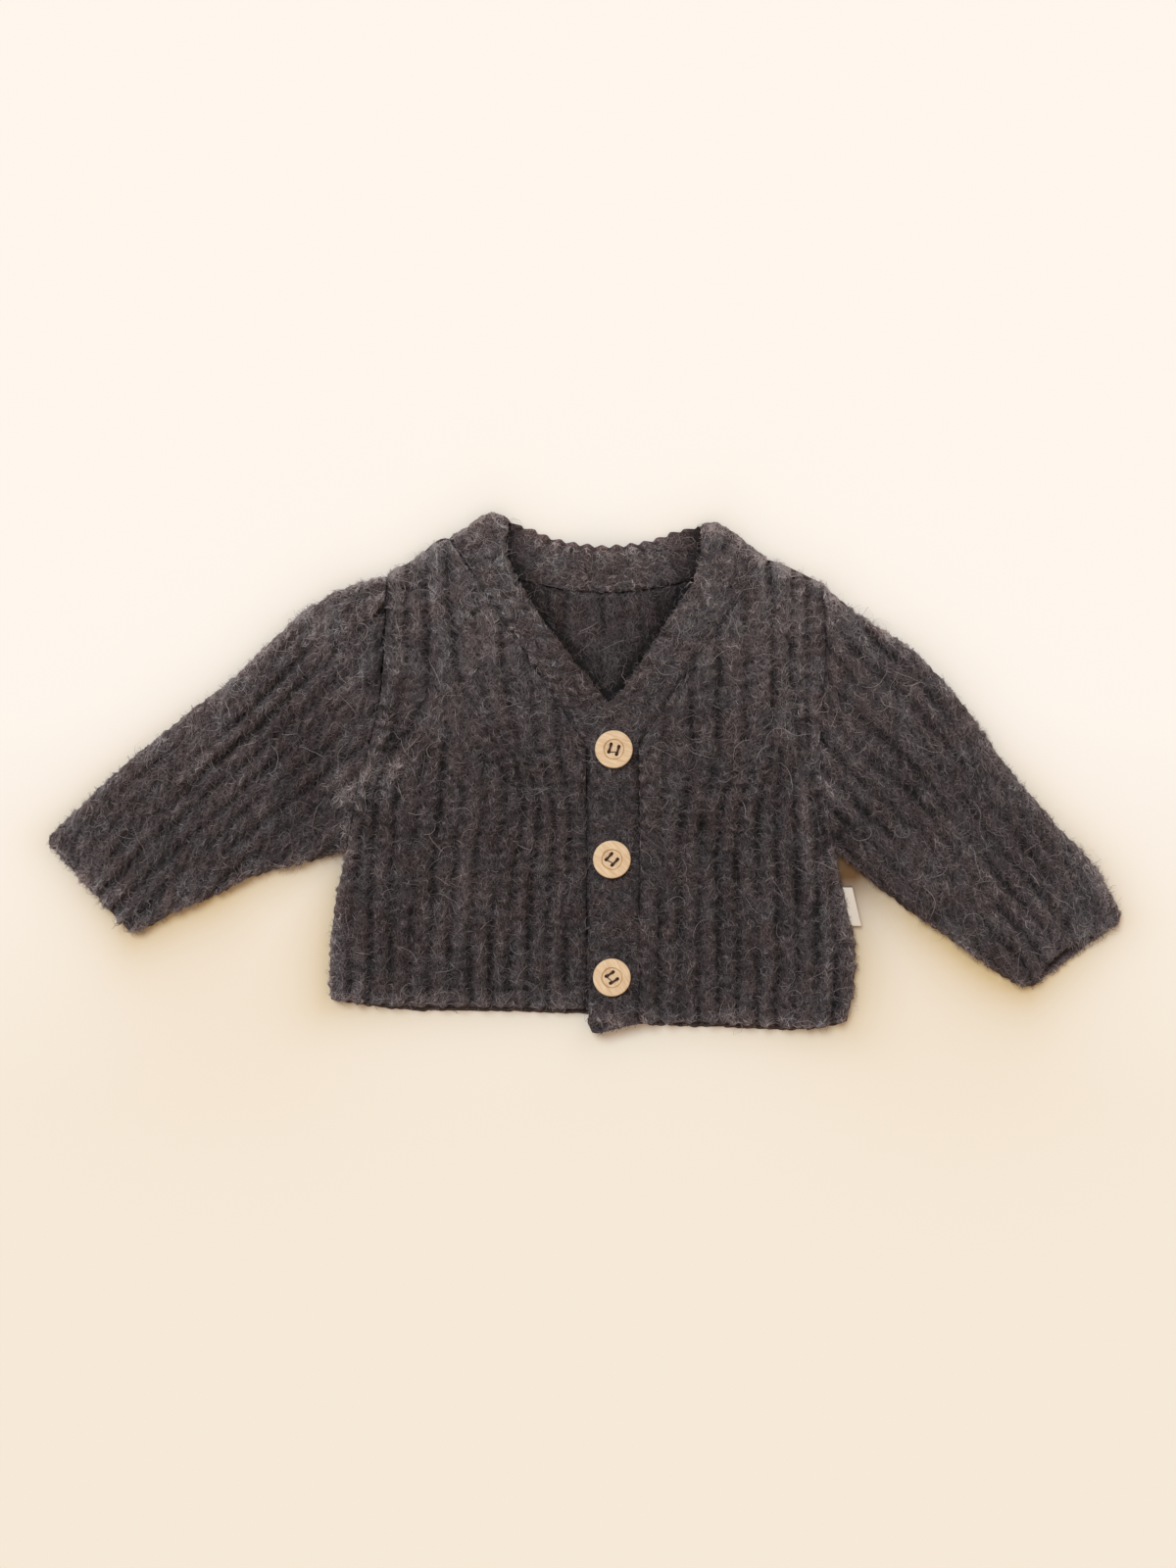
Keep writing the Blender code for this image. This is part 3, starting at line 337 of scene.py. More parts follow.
# Finer creases of the looks, which the solids leave out
CREASES = (
    Fold((-100, 90), (-103, 42), 3, -0.55),      # beside the right armhole
    Fold((-112, -8), (-99, -30), 4, -0.4),
    Fold((-118, -30), (-104, -46), 4, 0.6),
    Fold((-128, 20), (-137, -20), 5, 0.7),
    Fold((-150, 30), (-160, 2), 5, -0.5),
    Fold((-196, -30), (-228, -58), 5, -0.5),
    Fold((-183, 18), (-206, -2), 5, 0.5),
    Fold((-36, -20), (-34, -70), 4, -0.5),
    Fold((-20, -70), (-18, -112), 5, -0.4),
    Fold((119, 88), (118, 52), 3, -0.8),         # beside the left armhole
    Fold((131, -8), (140, -38), 4, 0.7),
    Fold((146, -20), (162, -48), 4, -0.6),
    Fold((176, -12), (196, -46), 5, 0.5),
    Fold((216, 0), (238, -36), 5, -0.5),
    Fold((60, -10), (66, -36), 5, 0.5),
    Fold((48, -30), (50, -96), 4, -0.4),
    Fold((112, -60), (120, -104), 5, -0.5),
)

# Where the wool is lighter or darker than about it, by a share: partly for the way that it
# is brushed, partly painted light where it lies to the light and painted shade in its hollows
BRUSHED_AND_SHADED = (
    Fold((-262, -50), (-240, -68), 22, 0.28),    # right sleeve: its end
    Fold((-252, -10), (-216, 15), 10, 0.16),     # and along its upper edge
    Fold((-165, 44), (-150, 36), 9, 0.12),
    Fold((-130, 89), (-106, 97), 8, -0.16),
    Fold((-215, -40), (-185, -22), 12, 0.08),
    Fold((-245, -28), (-165, 12), 24, 0.07),
    Fold((-196, 28), (-176, 2), 14, 0.1),
    Fold((-143, 22), (-146, -28), 12, -0.2),     # hollow at the top of that sleeve
    Fold((-134, 8), (-137, -18), 9, -0.12),
    Fold((-118, -8), (-96, 2), 8, 0.55),         # wisps at the right underarm
    Fold((-122, -12), (-121, -28), 6, 0.35),
    Fold((-104, 30), (-105, 4), 7, 0.25),
    Fold((-121, 2), (-90, -20), 9, 0.12),
    Fold((-113, -7), (-92, 2), 6, 0.3),
    Fold((-116, -20), (-106, -52), 9, 0.14),
    Fold((-88, -34), (-90, -80), 11, -0.15),     # hollow down the right front
    Fold((-73, -42), (-74, -56), 9, -0.12),
    Fold((-121, -74), (-119, -110), 8, 0.12),    # its side
    Fold((96, -72), (98, -84), 5, 0.15),         # crest on the left front
    Fold((-125, -115), (0, -119), 5, 0.24),      # along the hems
    Fold((30, -126), (130, -127), 5, 0.24),
    Fold((122, -125), (135, -117), 7, -0.2),
    Fold((-8, 20), (36, 20), 8, 0.12),           # over the top button
    Fold((-3, -5), (-4, -112), 4, -0.12),        # beside the placket
    Fold((59, 4), (60, -24), 8, -0.16),          # hollow down the left front
    Fold((62, -31), (82, -101), 8, -0.2),
    Fold((112, 34), (114, -24), 9, 0.28),        # along the left armhole and side
    Fold((116, -30), (124, -112), 9, 0.21),
    Fold((118, 10), (123, -12), 7, 0.2),
    Fold((161, -4), (166, -22), 12, -0.2),       # hollow in the left sleeve
    Fold((200, -58), (244, -84), 16, 0.15),      # towards its cuff
    Fold((126, 30), (134, 5), 9, 0.12),          # its top
    Fold((230, -100), (262, -79), 7, 0.15),      # over its cuff
    Fold((138, -50), (176, -75), 5, -0.32),      # along its under edge
    Fold((131, -28), (133, -38), 6, -0.42),      # at the left underarm
    Fold((215, 0), (262, -52), 11, 0.24),        # along the left sleeve's upper edge
    Fold((105, 101), (118, 96), 8, 0.2),         # the left shoulder
    Fold((124, 92), (152, 72), 8, 0.08),
    Fold((168, 56), (184, 40), 8, -0.1),
    Fold((-68, 106), (-64, 84), 9, -0.14),       # tops of the fronts
    Fold((86, 95), (86, 80), 8, -0.18),
    Fold((60, 122), (84, 116), 8, -0.14),
)

# ---------------------------------------------------------------------------- band
BAND_WALL = 2.8
BAND_RIB = 0.8
BAND_RIB_PITCH = 7.5
NECK_RIB_PITCH = 10.0     # the same round the neck, along the middle of the band
BAND_SCALLOP = 0.9
BAND_GROOVE = 0.14        # depth of its grooves as a share of the panels'
NECK_GROOVE = 0.65        # the same round the neck, where it is stretched less
NECK_RISE = 1.0           # how far the fuzz stands over its edge round the neck
NECK_SCALLOP = 0.8        # how far its ribs stand out of that edge
NECK_SCALLOP_LEVEL = 0.6  # mean of their wave, which is taken off
NECK_SEAM = 0.35          # how firmly its seam draws it in there
BAND_RAG = 0.4            # how ragged its free edge is
NECK_RAG = 0.15           # and round the neck
BAND_RAG_SIZE = (3.3, 1.0)
BAND_RAG_SEED = 9
BAND_HIDDEN_RELIEF = 0.15  # share of the relief on the face that doesn't show
BAND_UNDER_LEVEL = UPPER + 0.1 + BAND_WALL / 2             # right strand, underneath
BAND_OVER_LEVEL = BAND_UNDER_LEVEL + BAND_WALL + GAP       # left strand, on top
BAND_BACK_LEVEL = WALL / 2                                 # round the back of the neck
BAND_STEP = 0.9
BAND_TOP_POINTS = 30
BAND_UNDER_POINTS = 12
BAND_EDGE_POINTS = 7
BAND_EDGE_SHARE = 0.9     # share across the band at which its free edge starts to round
BAND_SEED = 71
BAND_LIGHT = 0.95         # how light its wool is beside the fronts'
BAND_LIT_SHARE = 0.15     # share of its width, at the free edge, that is lit otherwise:
BAND_EDGE_LIGHT = -0.06   # how much lighter there
NECK_EDGE_LIGHT = 0.22    # and round the neck
NECK_SHADE = 0.08         # how much darker it is round the neck
NECK_VEE_SHADE = 0.7      # and in the shade of the V's strands
NECK_VEE_SPREAD = 1.5     # how much wider than on the back that shade is
BAND_MAP_SHIFT = 900.0    # from the upper to the under side in the knit map
# Length of the knit at which each stretch starts, the same for both left ones
BandStarts = namedtuple("BandStarts", "right_vee neck left")
BAND_STARTS = BandStarts(130.0, 300.0, 600.0)

RIGHT_PLACKET_FREE = ((25.0, -122.0), (25.0, 4.0))
RIGHT_VEE_FREE = ((25.0, 4.0), (21.5, 16.0), (12.0, 35.0), (3.4, 46.0), (-9.9, 62.6),
                  (-22.4, 79.3), (-33.2, 96.8), (-38.3, 108.5), (-39.5, 117.0), (-38.0, 126.5))
BACK_NECK_FREE = ((-38.0, 126.5), (-27.0, 122.8), (-14.0, 117.5), (10.0, 113.5),
                  (32.0, 116.5), (47.0, 121.8), (59.0, 124.5))
LEFT_VEE_FREE = ((59.0, 124.5), (59.3, 116.0), (58.3, 108.0), (54.5, 95.5), (48.4, 86.8),
                 (39.3, 72.6), (28.4, 56.0), (18.4, 41.5), (10.5, 34.0), (4.5, 24.5), (3.2, 17.0))
LEFT_PLACKET_FREE = ((3.2, 17.0), (2.0, -133.0))
LEFT_PLACKET_END = (28.0, -126.5)

# Heights are those of the wall's middle, and shares are of a stretch's length.
VEE_SEAM_RISE = 0.8       # how far a strand of the V floats at its seam
VEE_FREE_RISE = 1.6       # and at its free edge
VEE_RISE_END = 0.45       # share by which it has come to that height
VEE_FALL = 0.3            # share over which it comes down at the shoulder
VEE_RIB_SHARES = (0.2, 0.35)  # between which the right strand's ribs rise
NECK_STAND = 6.0          # how far the free edge stands up at the back of the neck
NECK_STAND_START = 0.16   # share at which it begins to
NECK_RIB_SHARES = (0.1, 0.25)
FOLD_STATIONS = 26        # steps round the fold at a shoulder
FOLD_TURN_SHARE = 1.5     # how much sooner the ends of a fold meet than its middle turns
FOLD_SETBACK = 2.6        # how far below the shoulder point it starts
FOLD_RUN = 14.0           # length of the knit round it
FOLD_BOW = (5.0, 3.0)     # how far it bows out, right and left
FOLD_BOW_SKEW = 2.0       # power that moves the bow towards the free edge
FOLD_BOW_REACH = 14.0     # how far along the band the bow fades out
# Outline of the band where it folds over at the shoulders
SHOULDER_TIPS = (((-70.0, 119.0), (-46.0, 130.5), (-38.0, 126.5)),
                 ((59.0, 124.5), (69.0, 126.0), (93.5, 108.0)))

# ---------------------------------------------------------------- buttons and label
Button = namedtuple("Button", "name place turn_deg")
BUTTONS = (
    Button("button_top", (14.75, 11.75), 73.0),
    Button("button_middle", (13.75, -43.75), 47.0),
    Button("button_bottom", (13.75, -103.25), 32.0),
)
BUTTON_RADIUS = 9.5
BUTTON_THICK = 3.4
BUTTON_DISH_RADIUS = 5.0
BUTTON_DISH_DEPTH = 0.6
BUTTON_HOLE_RADIUS = 0.9
BUTTON_HOLE_OFFSET = 2.05
BUTTON_ROUNDING = (0.9, 0.7)  # of its edges: width and height
BUTTON_ROUND_POINTS = (8, 6)  # along the upper and the lower one
BUTTON_STEP = (0.5, 0.7)  # slope round the dish: how far inside it starts, and its width
BUTTON_STEP_POINTS = 7
BUTTON_BEAD = (0.8, 0.02)  # slight swell outside the dish: how far out and how high
BUTTON_SEGMENTS = 128
BUTTON_HOLE_SEGMENTS = 24
BUTTON_MERGE = 1e-5       # metres within which the turned points at the axis are one
BUTTON_SHARP_DEG = 40
BUTTON_SEAT = BAND_OVER_LEVEL + BAND_WALL / 2 + BAND_RIB + GAP
THREAD_RADIUS = 0.5
THREAD_RISE = 0.5         # how far a bar of thread stands over the dish
THREAD_SUNK = 1.4         # how far its ends go down the holes
THREAD_SPREAD = 0.28      # how far its two strands part
THREAD_POINTS = 14
TIE_PLACE = 0.72          # place of the thin tie, as a share of the way to the holes
TIE_SWAY = 0.3
TIE_LEVEL = 0.3
TIE_SHARE = 0.45          # its radius as a share of the thread's

LabelEdge = namedtuple("LabelEdge", "inner outer")
LABEL_EDGES = (
    LabelEdge((130.9, -57.4), (136.0, -57.5)),
    LabelEdge((133.0, -68.4), (138.4, -67.8)),
    LabelEdge((135.1, -77.9), (140.8, -77.9)),
)
LABEL_THICK = 0.9         # over both layers
LABEL_GAP = 0.24          # between them
LABEL_FOLD = 0.09         # share of its width that the fold takes
LABEL_LEVEL = 2.9         # height of its middle
LABEL_RIPPLE = 0.12
LABEL_RIPPLE_SIZE = (5.0, 6.0)
LABEL_SEED = 91
LABEL_ROWS = 30
LABEL_RUN_POINTS = 12     # across one layer
LABEL_FOLD_POINTS = 7     # round the fold
LABEL_BAKE_TOP = 0.9
LABEL_BAKE_ENDS = (0.93, 0.97)

# -------------------------------------------------------- camera, stage and lights
CAMERA_PLACE = (1.75, -5.75)
CAMERA_HEIGHT = 1110.0
CAMERA_LENS = 50.0
CAMERA_SENSOR = 36.0
FLOOR_SIZE = 12000.0
FLOOR_LEVEL = -0.2
# Painted warm shadow of the garment on the floor, deepest in the lee of the arms
SHADE_PLACES = ((-185.0, -95.0), (195.0, -105.0))
SHADE_RADIUS = 75.0
LEE_SHADE = 0.2           # how strong in the open
LEE_NEAR_SHADE = 0.85     # and how much stronger along the outline
NEAR_SHADE = 0.26         # along the outline everywhere
SHADE_FADE = 12.0         # how far from the outline that reaches
SHADE_SPAN = 420.0        # half the width of the floor's fine middle, and its spacing
SHADE_STEP = 6.0
SHADE_COLOUR = (227, 206, 166)
# Painted deep shadow in the armpits: where, how strong and how far it reaches
Armpit = namedtuple("Armpit", "place strength reach")
ARMPITS = (Armpit((135.6, -48.2), 1.5, 17.0), Armpit((-126.6, -39.7), 0.5, 10.0))
ARMPIT_COLOUR = (122, 96, 70)
SKY_COLOUR = (1.0, 0.82, 0.66, 1.0)
SKY_STRENGTH = 0.64
WINDOW_COLOUR = (0.72, 0.9, 1.0)
WINDOW_STRENGTH = 1.92
WINDOW_WIDTH_DEG = 30
WINDOW_PLACE = (-0.3, 0.45, 1.0)  # direction towards it


# --------------------------------------------------------------------- small maths
def smooth(share):
    """Smooth step from 0 to 1."""
    share = np.clip(share, 0.0, 1.0)
    return share * share * (3 - 2 * share)


def rise(value, low, high):
    """Smooth step from 0 at the low value to 1 at the high one."""
    return smooth((value - low) / (high - low))


def mix(a, b, share):
    return a + (b - a) * share


def unit(vectors):
    """Vectors scaled to length one."""
    return vectors / np.maximum(np.linalg.norm(vectors, axis=-1, keepdims=True), TINY)


def with_height(points, height):
    """Points of the plane, each with a height."""
    return np.concatenate([points, height[..., None]], axis=-1)


def spline(points, places):
    """Points on a smooth curve through a table's points, places counted in points."""
    points = np.asarray(points, float)
    places = np.asarray(places, float)
    last = len(points) - 1
    first = np.clip(places.astype(int), 0, last - 1)
    share = (places - first).reshape(-1, *[1] * (points.ndim - 1))
    near = [points[np.clip(first + k, 0, last)] for k in (-1, 0, 1, 2)]
    weights = (
        -0.5 * share + share ** 2 - 0.5 * share ** 3,
        1 - 2.5 * share ** 2 + 1.5 * share ** 3,
        0.5 * share + 2 * share ** 2 - 1.5 * share ** 3,
        -0.5 * share ** 2 + 0.5 * share ** 3,
    )
    return sum(weight * point for weight, point in zip(weights, near))


def field_of(rows, field):
    """One field of a table's rows."""
    return [getattr(row, field) for row in rows]


def lengths(path):
    """Length along a path up to each of its points."""
    steps = np.linalg.norm(np.diff(path, axis=0), axis=-1)
    return np.concatenate([np.zeros_like(steps[:1]), np.cumsum(steps, axis=0)])


def at_lengths(path, run, at):
    """Points of a path at lengths along it, from the run of its own points."""
    return np.stack([np.interp(at, run, path[:, axis]) for axis in (0, 1)], axis=-1)


def smooth_path(points, step=2.0):
    """A smooth curve through points, as a dense path."""
    dense = spline(points, np.linspace(0, len(points) - 1, PATH_DENSITY * len(points)))
    run = lengths(dense)
    return at_lengths(dense, run, np.linspace(0, run[-1], max(int(run[-1] / step), 2) + 1))


def along(path, share):
    """Points at shares of a path's length."""
    path = np.asarray(path, float)
    run = lengths(path)
    return at_lengths(path, run, np.asarray(share) * run[-1])


def even_places(points, step):
    """Places, counted in points, that are evenly spaced along a smooth curve."""
    dense = np.linspace(0, len(points) - 1, PLACE_DENSITY * len(points))
    run = lengths(spline(points, dense))
    return np.interp(np.linspace(0, run[-1], int(round(run[-1] / step)) + 1), run, dense)


def distance_to_path(points, path):
    """Distance of each point from a run of straight lines."""
    path = np.asarray(path, float)
    nearest = np.full(points.shape[:-1], np.inf)
    for start, end in zip(path[:-1], path[1:]):
        run = end - start
        share = np.clip(((points - start) @ run) / (run @ run), 0, 1)
        gap = points - (start + share[..., None] * run)
        nearest = np.minimum(nearest, np.hypot(gap[..., 0], gap[..., 1]))
    return nearest


def distance_to_paths(points, paths):
    return np.minimum.reduce([distance_to_path(points, path) for path in paths])


def noise(across, row, size, seed):
    """Smooth noise from -1 to 1, with one random value for each cell of this size."""
    table = np.random.default_rng(seed).uniform(-1, 1, (NOISE_CELLS, NOISE_CELLS))
    x, y = across / size[0], row / size[1]
    left, line = np.floor(x).astype(int), np.floor(y).astype(int)
    to_right, to_next = smooth(x - left), smooth(y - line)

    def value(right, up):
        return table[(line + up) % NOISE_CELLS, (left + right) % NOISE_CELLS]

    low = mix(value(0, 0), value(1, 0), to_right)
    high = mix(value(0, 1), value(1, 1), to_right)
    return mix(low, high, to_next)


# ------------------------------------------------------------- the upper layer's form
def folded_paths():
    """Lines of the outline where the knit folds over from the upper to the lower layer."""
    paths = []
    for courses in (RIGHT_COURSES, LEFT_COURSES):
        top = courses[-1]
        paths.append(spline(field_of(courses, "side"), np.linspace(0, UNDERARM_COURSE, 24)))
        paths.append(np.array([top.side, top.outer, top.inner]))
    for rows in (RIGHT_SLEEVE, LEFT_SLEEVE):
        paths += [smooth_path(field_of(rows, edge), 5.0) for edge in ("over", "under")]
    return paths


def outline_paths():
    """Lines of the whole outline: folded edges, cuffs, hem, neck and the placket's end."""
    cuffs = [(rows[-1].over, rows[-1].under) for rows in (RIGHT_SLEEVE, LEFT_SLEEVE)]
    placket_end = (LEFT_PLACKET_FREE[-1], LEFT_PLACKET_END)
    neck = smooth_path(BACK_NECK_FREE, 8.0)
    hem = field_of(BACK_LINES, "hem")
    return [*FOLDED_PATHS, *cuffs, hem, placket_end, neck, *SHOULDER_TIPS]


FOLDED_PATHS = folded_paths()
OUTLINE_PATHS = outline_paths()


def swell(points, folds):
    """Sum of soft ridges and troughs, each along a line."""
    height = np.zeros(points.shape[:-1])
    for fold in folds:
        away = distance_to_path(points, (fold.start, fold.end)) / fold.width
        height += fold.height * np.exp(-away ** 2)
    return height


def upper_faces(points):
    """Heights of the upper layer's underside and of its ribs' crests."""
    edge = distance_to_paths(points, FOLDED_PATHS)
    ease = smooth(edge / EDGE_EASE)
    under = UPPER + np.maximum(LOFT + swell(points, FOLDS), 0.0) * ease
    rounding = np.sqrt(1 - (1 - np.minimum(edge / EDGE_ROLL, 1.0)) ** 2)
    outer = under + EDGE_WALL + (WALL - EDGE_WALL + RIB) * rounding
    return under, outer + swell(points, CREASES) * ease


# ---------------------------------------------------------------------- knit relief
# gap is the distance from the nearest groove, half the distance from groove to crest,
# number a number for each rib, row the distance along the rib, and depth the share of
# a full groove.
Knit = namedtuple("Knit", "across row gap half number depth")
# A grid of knit that is seen: its points with and without relief, its normals, and how
# light its wool is
Patch = namedtuple("Patch", "points base normals tone")


def knit_relief(knit, seed):
    """Height over a smooth surface, and how hollow the surface is, from 0 to 1."""
    def knit_noise(size, number):
        return noise(knit.across, knit.row, size, seed + number)

    side = 1 - np.clip(knit.gap / knit.half, 0, 1)
    start = noise(knit.number * RIB_STRIDE[0], knit.number * RIB_STRIDE[1], (1.0, 1.0), seed + 1)
    phase = knit.row / STITCH_PITCH + STITCH_SLANT * side + start
    phase = phase + STITCH_STRAY * knit_noise(STRAY_SIZE, 2)
    pit = 0.5 - 0.5 * np.cos(2 * math.pi * phase)
    strength = GROOVE_STRENGTH[0] + GROOVE_STRENGTH[1] * knit_noise(STRENGTH_SIZE, 0)
    strength = strength * (1 - GROOVE_PIT * pit)
    groove = np.exp(-(knit.gap / GROOVE_WIDTH) ** 2) * knit.depth * strength
    stitch = np.abs(np.sin(math.pi * phase)) ** STITCH_ROUND - STITCH_LEVEL
    clump, fuzz = knit_noise(CLUMP_SIZE, 3), knit_noise(FUZZ_SIZE, 4)
    height = (
        -GROOVE_DEPTH * groove
        - CREST_FALL * knit.depth * side ** 2
        + STITCH_HEIGHT * stitch
        + CLUMP_HEIGHT * clump
        + FUZZ_HEIGHT * fuzz
    )
    hollow = (HOLLOW.groove * groove - HOLLOW.stitch * stitch - HOLLOW.clump * clump
              - HOLLOW.fuzz * fuzz)
    return height, np.clip(hollow, HOLLOW.crest, 1)


def knit_tone(points, hollow):
    """How light the wool is: painted shade in its hollows, lighter by brushing and painted light.
    """
    flat, up = points[..., :2], points[..., 1]
    light = TONE
    for share, low, high in TONE_RISES:
        light = light + share * rise(up, low, high)
    light = light + TONE_PATCHES * noise(points[..., 0], up, TONE_PATCH_SIZE, TONE_SEED)
    light = light * (1 + RIM_LIGHT * rim_glow(flat))
    light = light * (1 + CREASE_LIGHT * swell(flat, CREASES)) * (1 + swell(flat, BRUSHED_AND_SHADED))
    return light * (1 - HOLLOW_SHADE * hollow)


def rim_glow(points):
    """How near the outline each point is, from 0 to 1."""
    return np.exp(-distance_to_paths(points, OUTLINE_PATHS) / RIM_REACH)


def warmth(points):
    """How brown rather than grey the wool is, from 0 to 1: in patches and along the outline."""
    patches = noise(points[..., 0], points[..., 1], WARMTH_SIZE, WARMTH_SEED)
    warm = WARMTH + WARMTH_PATCHES * patches
    return np.clip(warm + RIM_WARMTH * rim_glow(points[..., :2]), 0, 1)


def from_side(points, side):
    """A grid seen from one of its sides, which becomes the first row."""
    return {"first row": points, "last row": points[::-1],
            "first column": points.swapaxes(0, 1),
            "last column": points.swapaxes(0, 1)[::-1]}[side]


def draw_out(points, side, row, pitch=STITCH_PITCH, inset=0.0, amount=1.0):
    """Draw one side of a grid out in scallops, one for each stitch along it."""
    view = from_side(points, side)
    away = view[0] - view[SCALLOP_LINES // 2]
    away[:, 2] = 0
    wave = np.abs(np.sin(math.pi * row / pitch)) - SCALLOP_LEVEL
    wave = wave + SCALLOP_NOISE * noise(row, row * 0, SCALLOP_NOISE_SIZE, SCALLOP_SEED)
    shift = unit(away) * (amount * (SCALLOP * wave - inset))[:, None]
    first = view[0].copy()
    for line in view[:SCALLOP_LINES]:
        fade = smooth(1 - np.linalg.norm(line - first, axis=-1) / SCALLOP_REACH)
        line += shift * fade[:, None]


def round_corner(points, row_side, column_side):
    """Round off the corner of a grid between two of its sides."""
    view = from_side(points, row_side)
    view = view if column_side == "first column" else view[:, ::-1]
    corner = view[0, 0, :2].copy()
    down, right = view[CORNER_LINES, 0, :2] - corner, view[0, CORNER_LINES, :2] - corner
    sides = np.stack([unit(down), unit(right)])
    local = (view[..., :2] - corner) @ np.linalg.inv(sides)
    near = np.clip(1 - local / CORNER, 0, 1)
    inside = np.all(local < CORNER, axis=-1)[..., None]
    pulled = near * np.sqrt(1 - near[..., ::-1] ** 2 / 2)
    view[..., :2] += ((near - pulled) * CORNER * inside) @ sides


def round_corners(points, row_side):
    """Round off the two corners at the ends of one side of a grid."""
    for side in ("first column", "last column"):
        round_corner(points, row_side, side)


def grid_normals(points):
    """Unit normals of a grid of points, by its rows and columns."""
    return unit(np.cross(np.gradient(points, axis=1), np.gradient(points, axis=0)))


def widths_across(points):
    """Distance across the ribs from the first column, square to the ribs."""
    direction = unit(np.gradient(points, axis=0))
    step = np.diff(points, axis=1)
    middle = (direction[:, 1:] + direction[:, :-1]) / 2
    width = np.abs(step[..., 0] * middle[..., 1] - step[..., 1] * middle[..., 0])
    return np.concatenate([np.zeros((len(points), 1)), np.cumsum(width, axis=1)], axis=1)


def panel_knit(points, ribs, depths, seed):
    """The knit of a panel whose columns run along its ribs, with a depth for each groove."""
    across, row = widths_across(points), lengths(points)
    wobble = WOBBLE * noise(across, row, WOBBLE_SIZE, seed + WOBBLE_SEED)
    gap = half = np.full(across.shape, RIB_PITCH / 2)
    depth = np.zeros(across.shape)
    for groove, groove_depth in depths.items():
        place = np.interp(groove, ribs, np.arange(len(ribs)))
        low = int(place)
        high = min(low + 1, len(ribs) - 1)
        line = mix(across[:, low], across[:, high], place - low)
        away = np.abs(across + wobble - line[:, None])
        closer = away + (1 - groove_depth[:, None]) * RIB_PITCH < gap
        gap = np.where(closer, away, gap)
        depth = np.where(closer, groove_depth[:, None], depth)
    number = np.floor(ribs + 1e-6)[None, :] + 0 * across
    return Knit(across, row, gap, half, number, depth)


def knit_map(knit):
    return np.stack([knit.across, knit.row], axis=-1)


def upper_layer(points, knit, seed, dip, to_end, lowest):
    """The outer face of an upper layer, drawn in by dip and rounded down at its cut end."""
    relief, hollow = knit_relief(knit, seed)
    base = with_height(points, upper_faces(points)[1] - hem_drop(to_end))
    normals = grid_normals(base)
    normals *= np.sign(normals[..., 2:])
    raised = base + normals * (relief - dip)[..., None]
    raised[..., 2] = np.maximum(raised[..., 2], lowest)
    tone = knit_tone(points, np.clip(hollow + seam_shade(dip, knit), -1, 1))
    return Patch(raised, base, normals, tone)


def hem_drop(to_end):
    """How far the outer face comes down near a cut end, by the distance from it."""
    near = 1 - np.clip(to_end / HEM_ROLL, 0, 1)
    return HEM_DROP * (1 - np.sqrt(1 - near ** 2))


def seam_dip(away):
    """How far knit is drawn in by the sewing of a seam at this distance."""
    return SEAM_DEPTH * np.exp(-(away / SEAM_WIDTH) ** 2)


def seam_shade(dip, knit):
    """How much more hollow the knit looks along a seam, in broken lengths."""
    broken = noise(knit.across, knit.row, SEAM_SHADE_SIZE, SEAM_SEED)
    return dip * (SEAM_SHADE[0] + SEAM_SHADE[1] * broken)


def armhole_hold(points):
    """How firmly an armhole's seam draws the knit in: less towards the underarm."""
    return mix(ARMHOLE_SLACK, 1.0, rise(points[..., 1], *ARMHOLE_HOLD))


# ------------------------------------------------------------------- mesh assembly
def fill(collection, name, values, kind=np.float32):
    """Give the elements of a mesh their values from an array."""
    collection.foreach_set(name, values.astype(kind).ravel())


def new_mesh(name, points, faces):
    """A mesh of points in millimetres, and of arrays of faces with a row for each face."""
    mesh = bpy.data.meshes.new(name)
    corners = np.concatenate([part.reshape(-1) for part in faces])
    sizes = np.concatenate([np.full(len(part), part.shape[1]) for part in faces])
    mesh.vertices.add(len(points))
    mesh.loops.add(len(corners))
    mesh.polygons.add(len(sizes))
    fill(mesh.vertices, "co", (points + SHIFT) * MM)
    fill(mesh.loops, "vertex_index", corners, np.int32)
    fill(mesh.polygons, "loop_start", np.cumsum(sizes) - sizes, np.int32)
    mesh.update(calc_edges=True)
    return mesh


def add_values(mesh, name, values):
    """Give a mesh a named value at each point, for its material."""
    fill(mesh.attributes.new(name, "FLOAT", "POINT").data, "value", values)


def link(piece):
    bpy.context.scene.collection.objects.link(piece)
    return piece


def smooth_piece(mesh, material):
    mesh.materials.append(material)
    mesh.shade_smooth()
    return link(bpy.data.objects.new(mesh.name, mesh))


def turn_faces_out(mesh):
    work = bmesh.new()
    work.from_mesh(mesh)
    bmesh.ops.recalc_face_normals(work, faces=work.faces)
    if work.calc_volume(signed=True) < 0:
        bmesh.ops.reverse_faces(work, faces=work.faces)
    work.to_mesh(mesh)
    work.free()


def quads_of(grid):
    """The four corners of each cell of a grid of numbers or of map places."""
    corners = (grid[:-1, :-1], grid[:-1, 1:], grid[1:, 1:], grid[1:, :-1])
    quads = np.stack(corners, axis=2)
    return quads.reshape(-1, 4, *quads.shape[3:])


def ring_closed(grid):
    """A grid with its first column once more at its end."""
    return np.concatenate([grid, grid[:, :1]], axis=1)


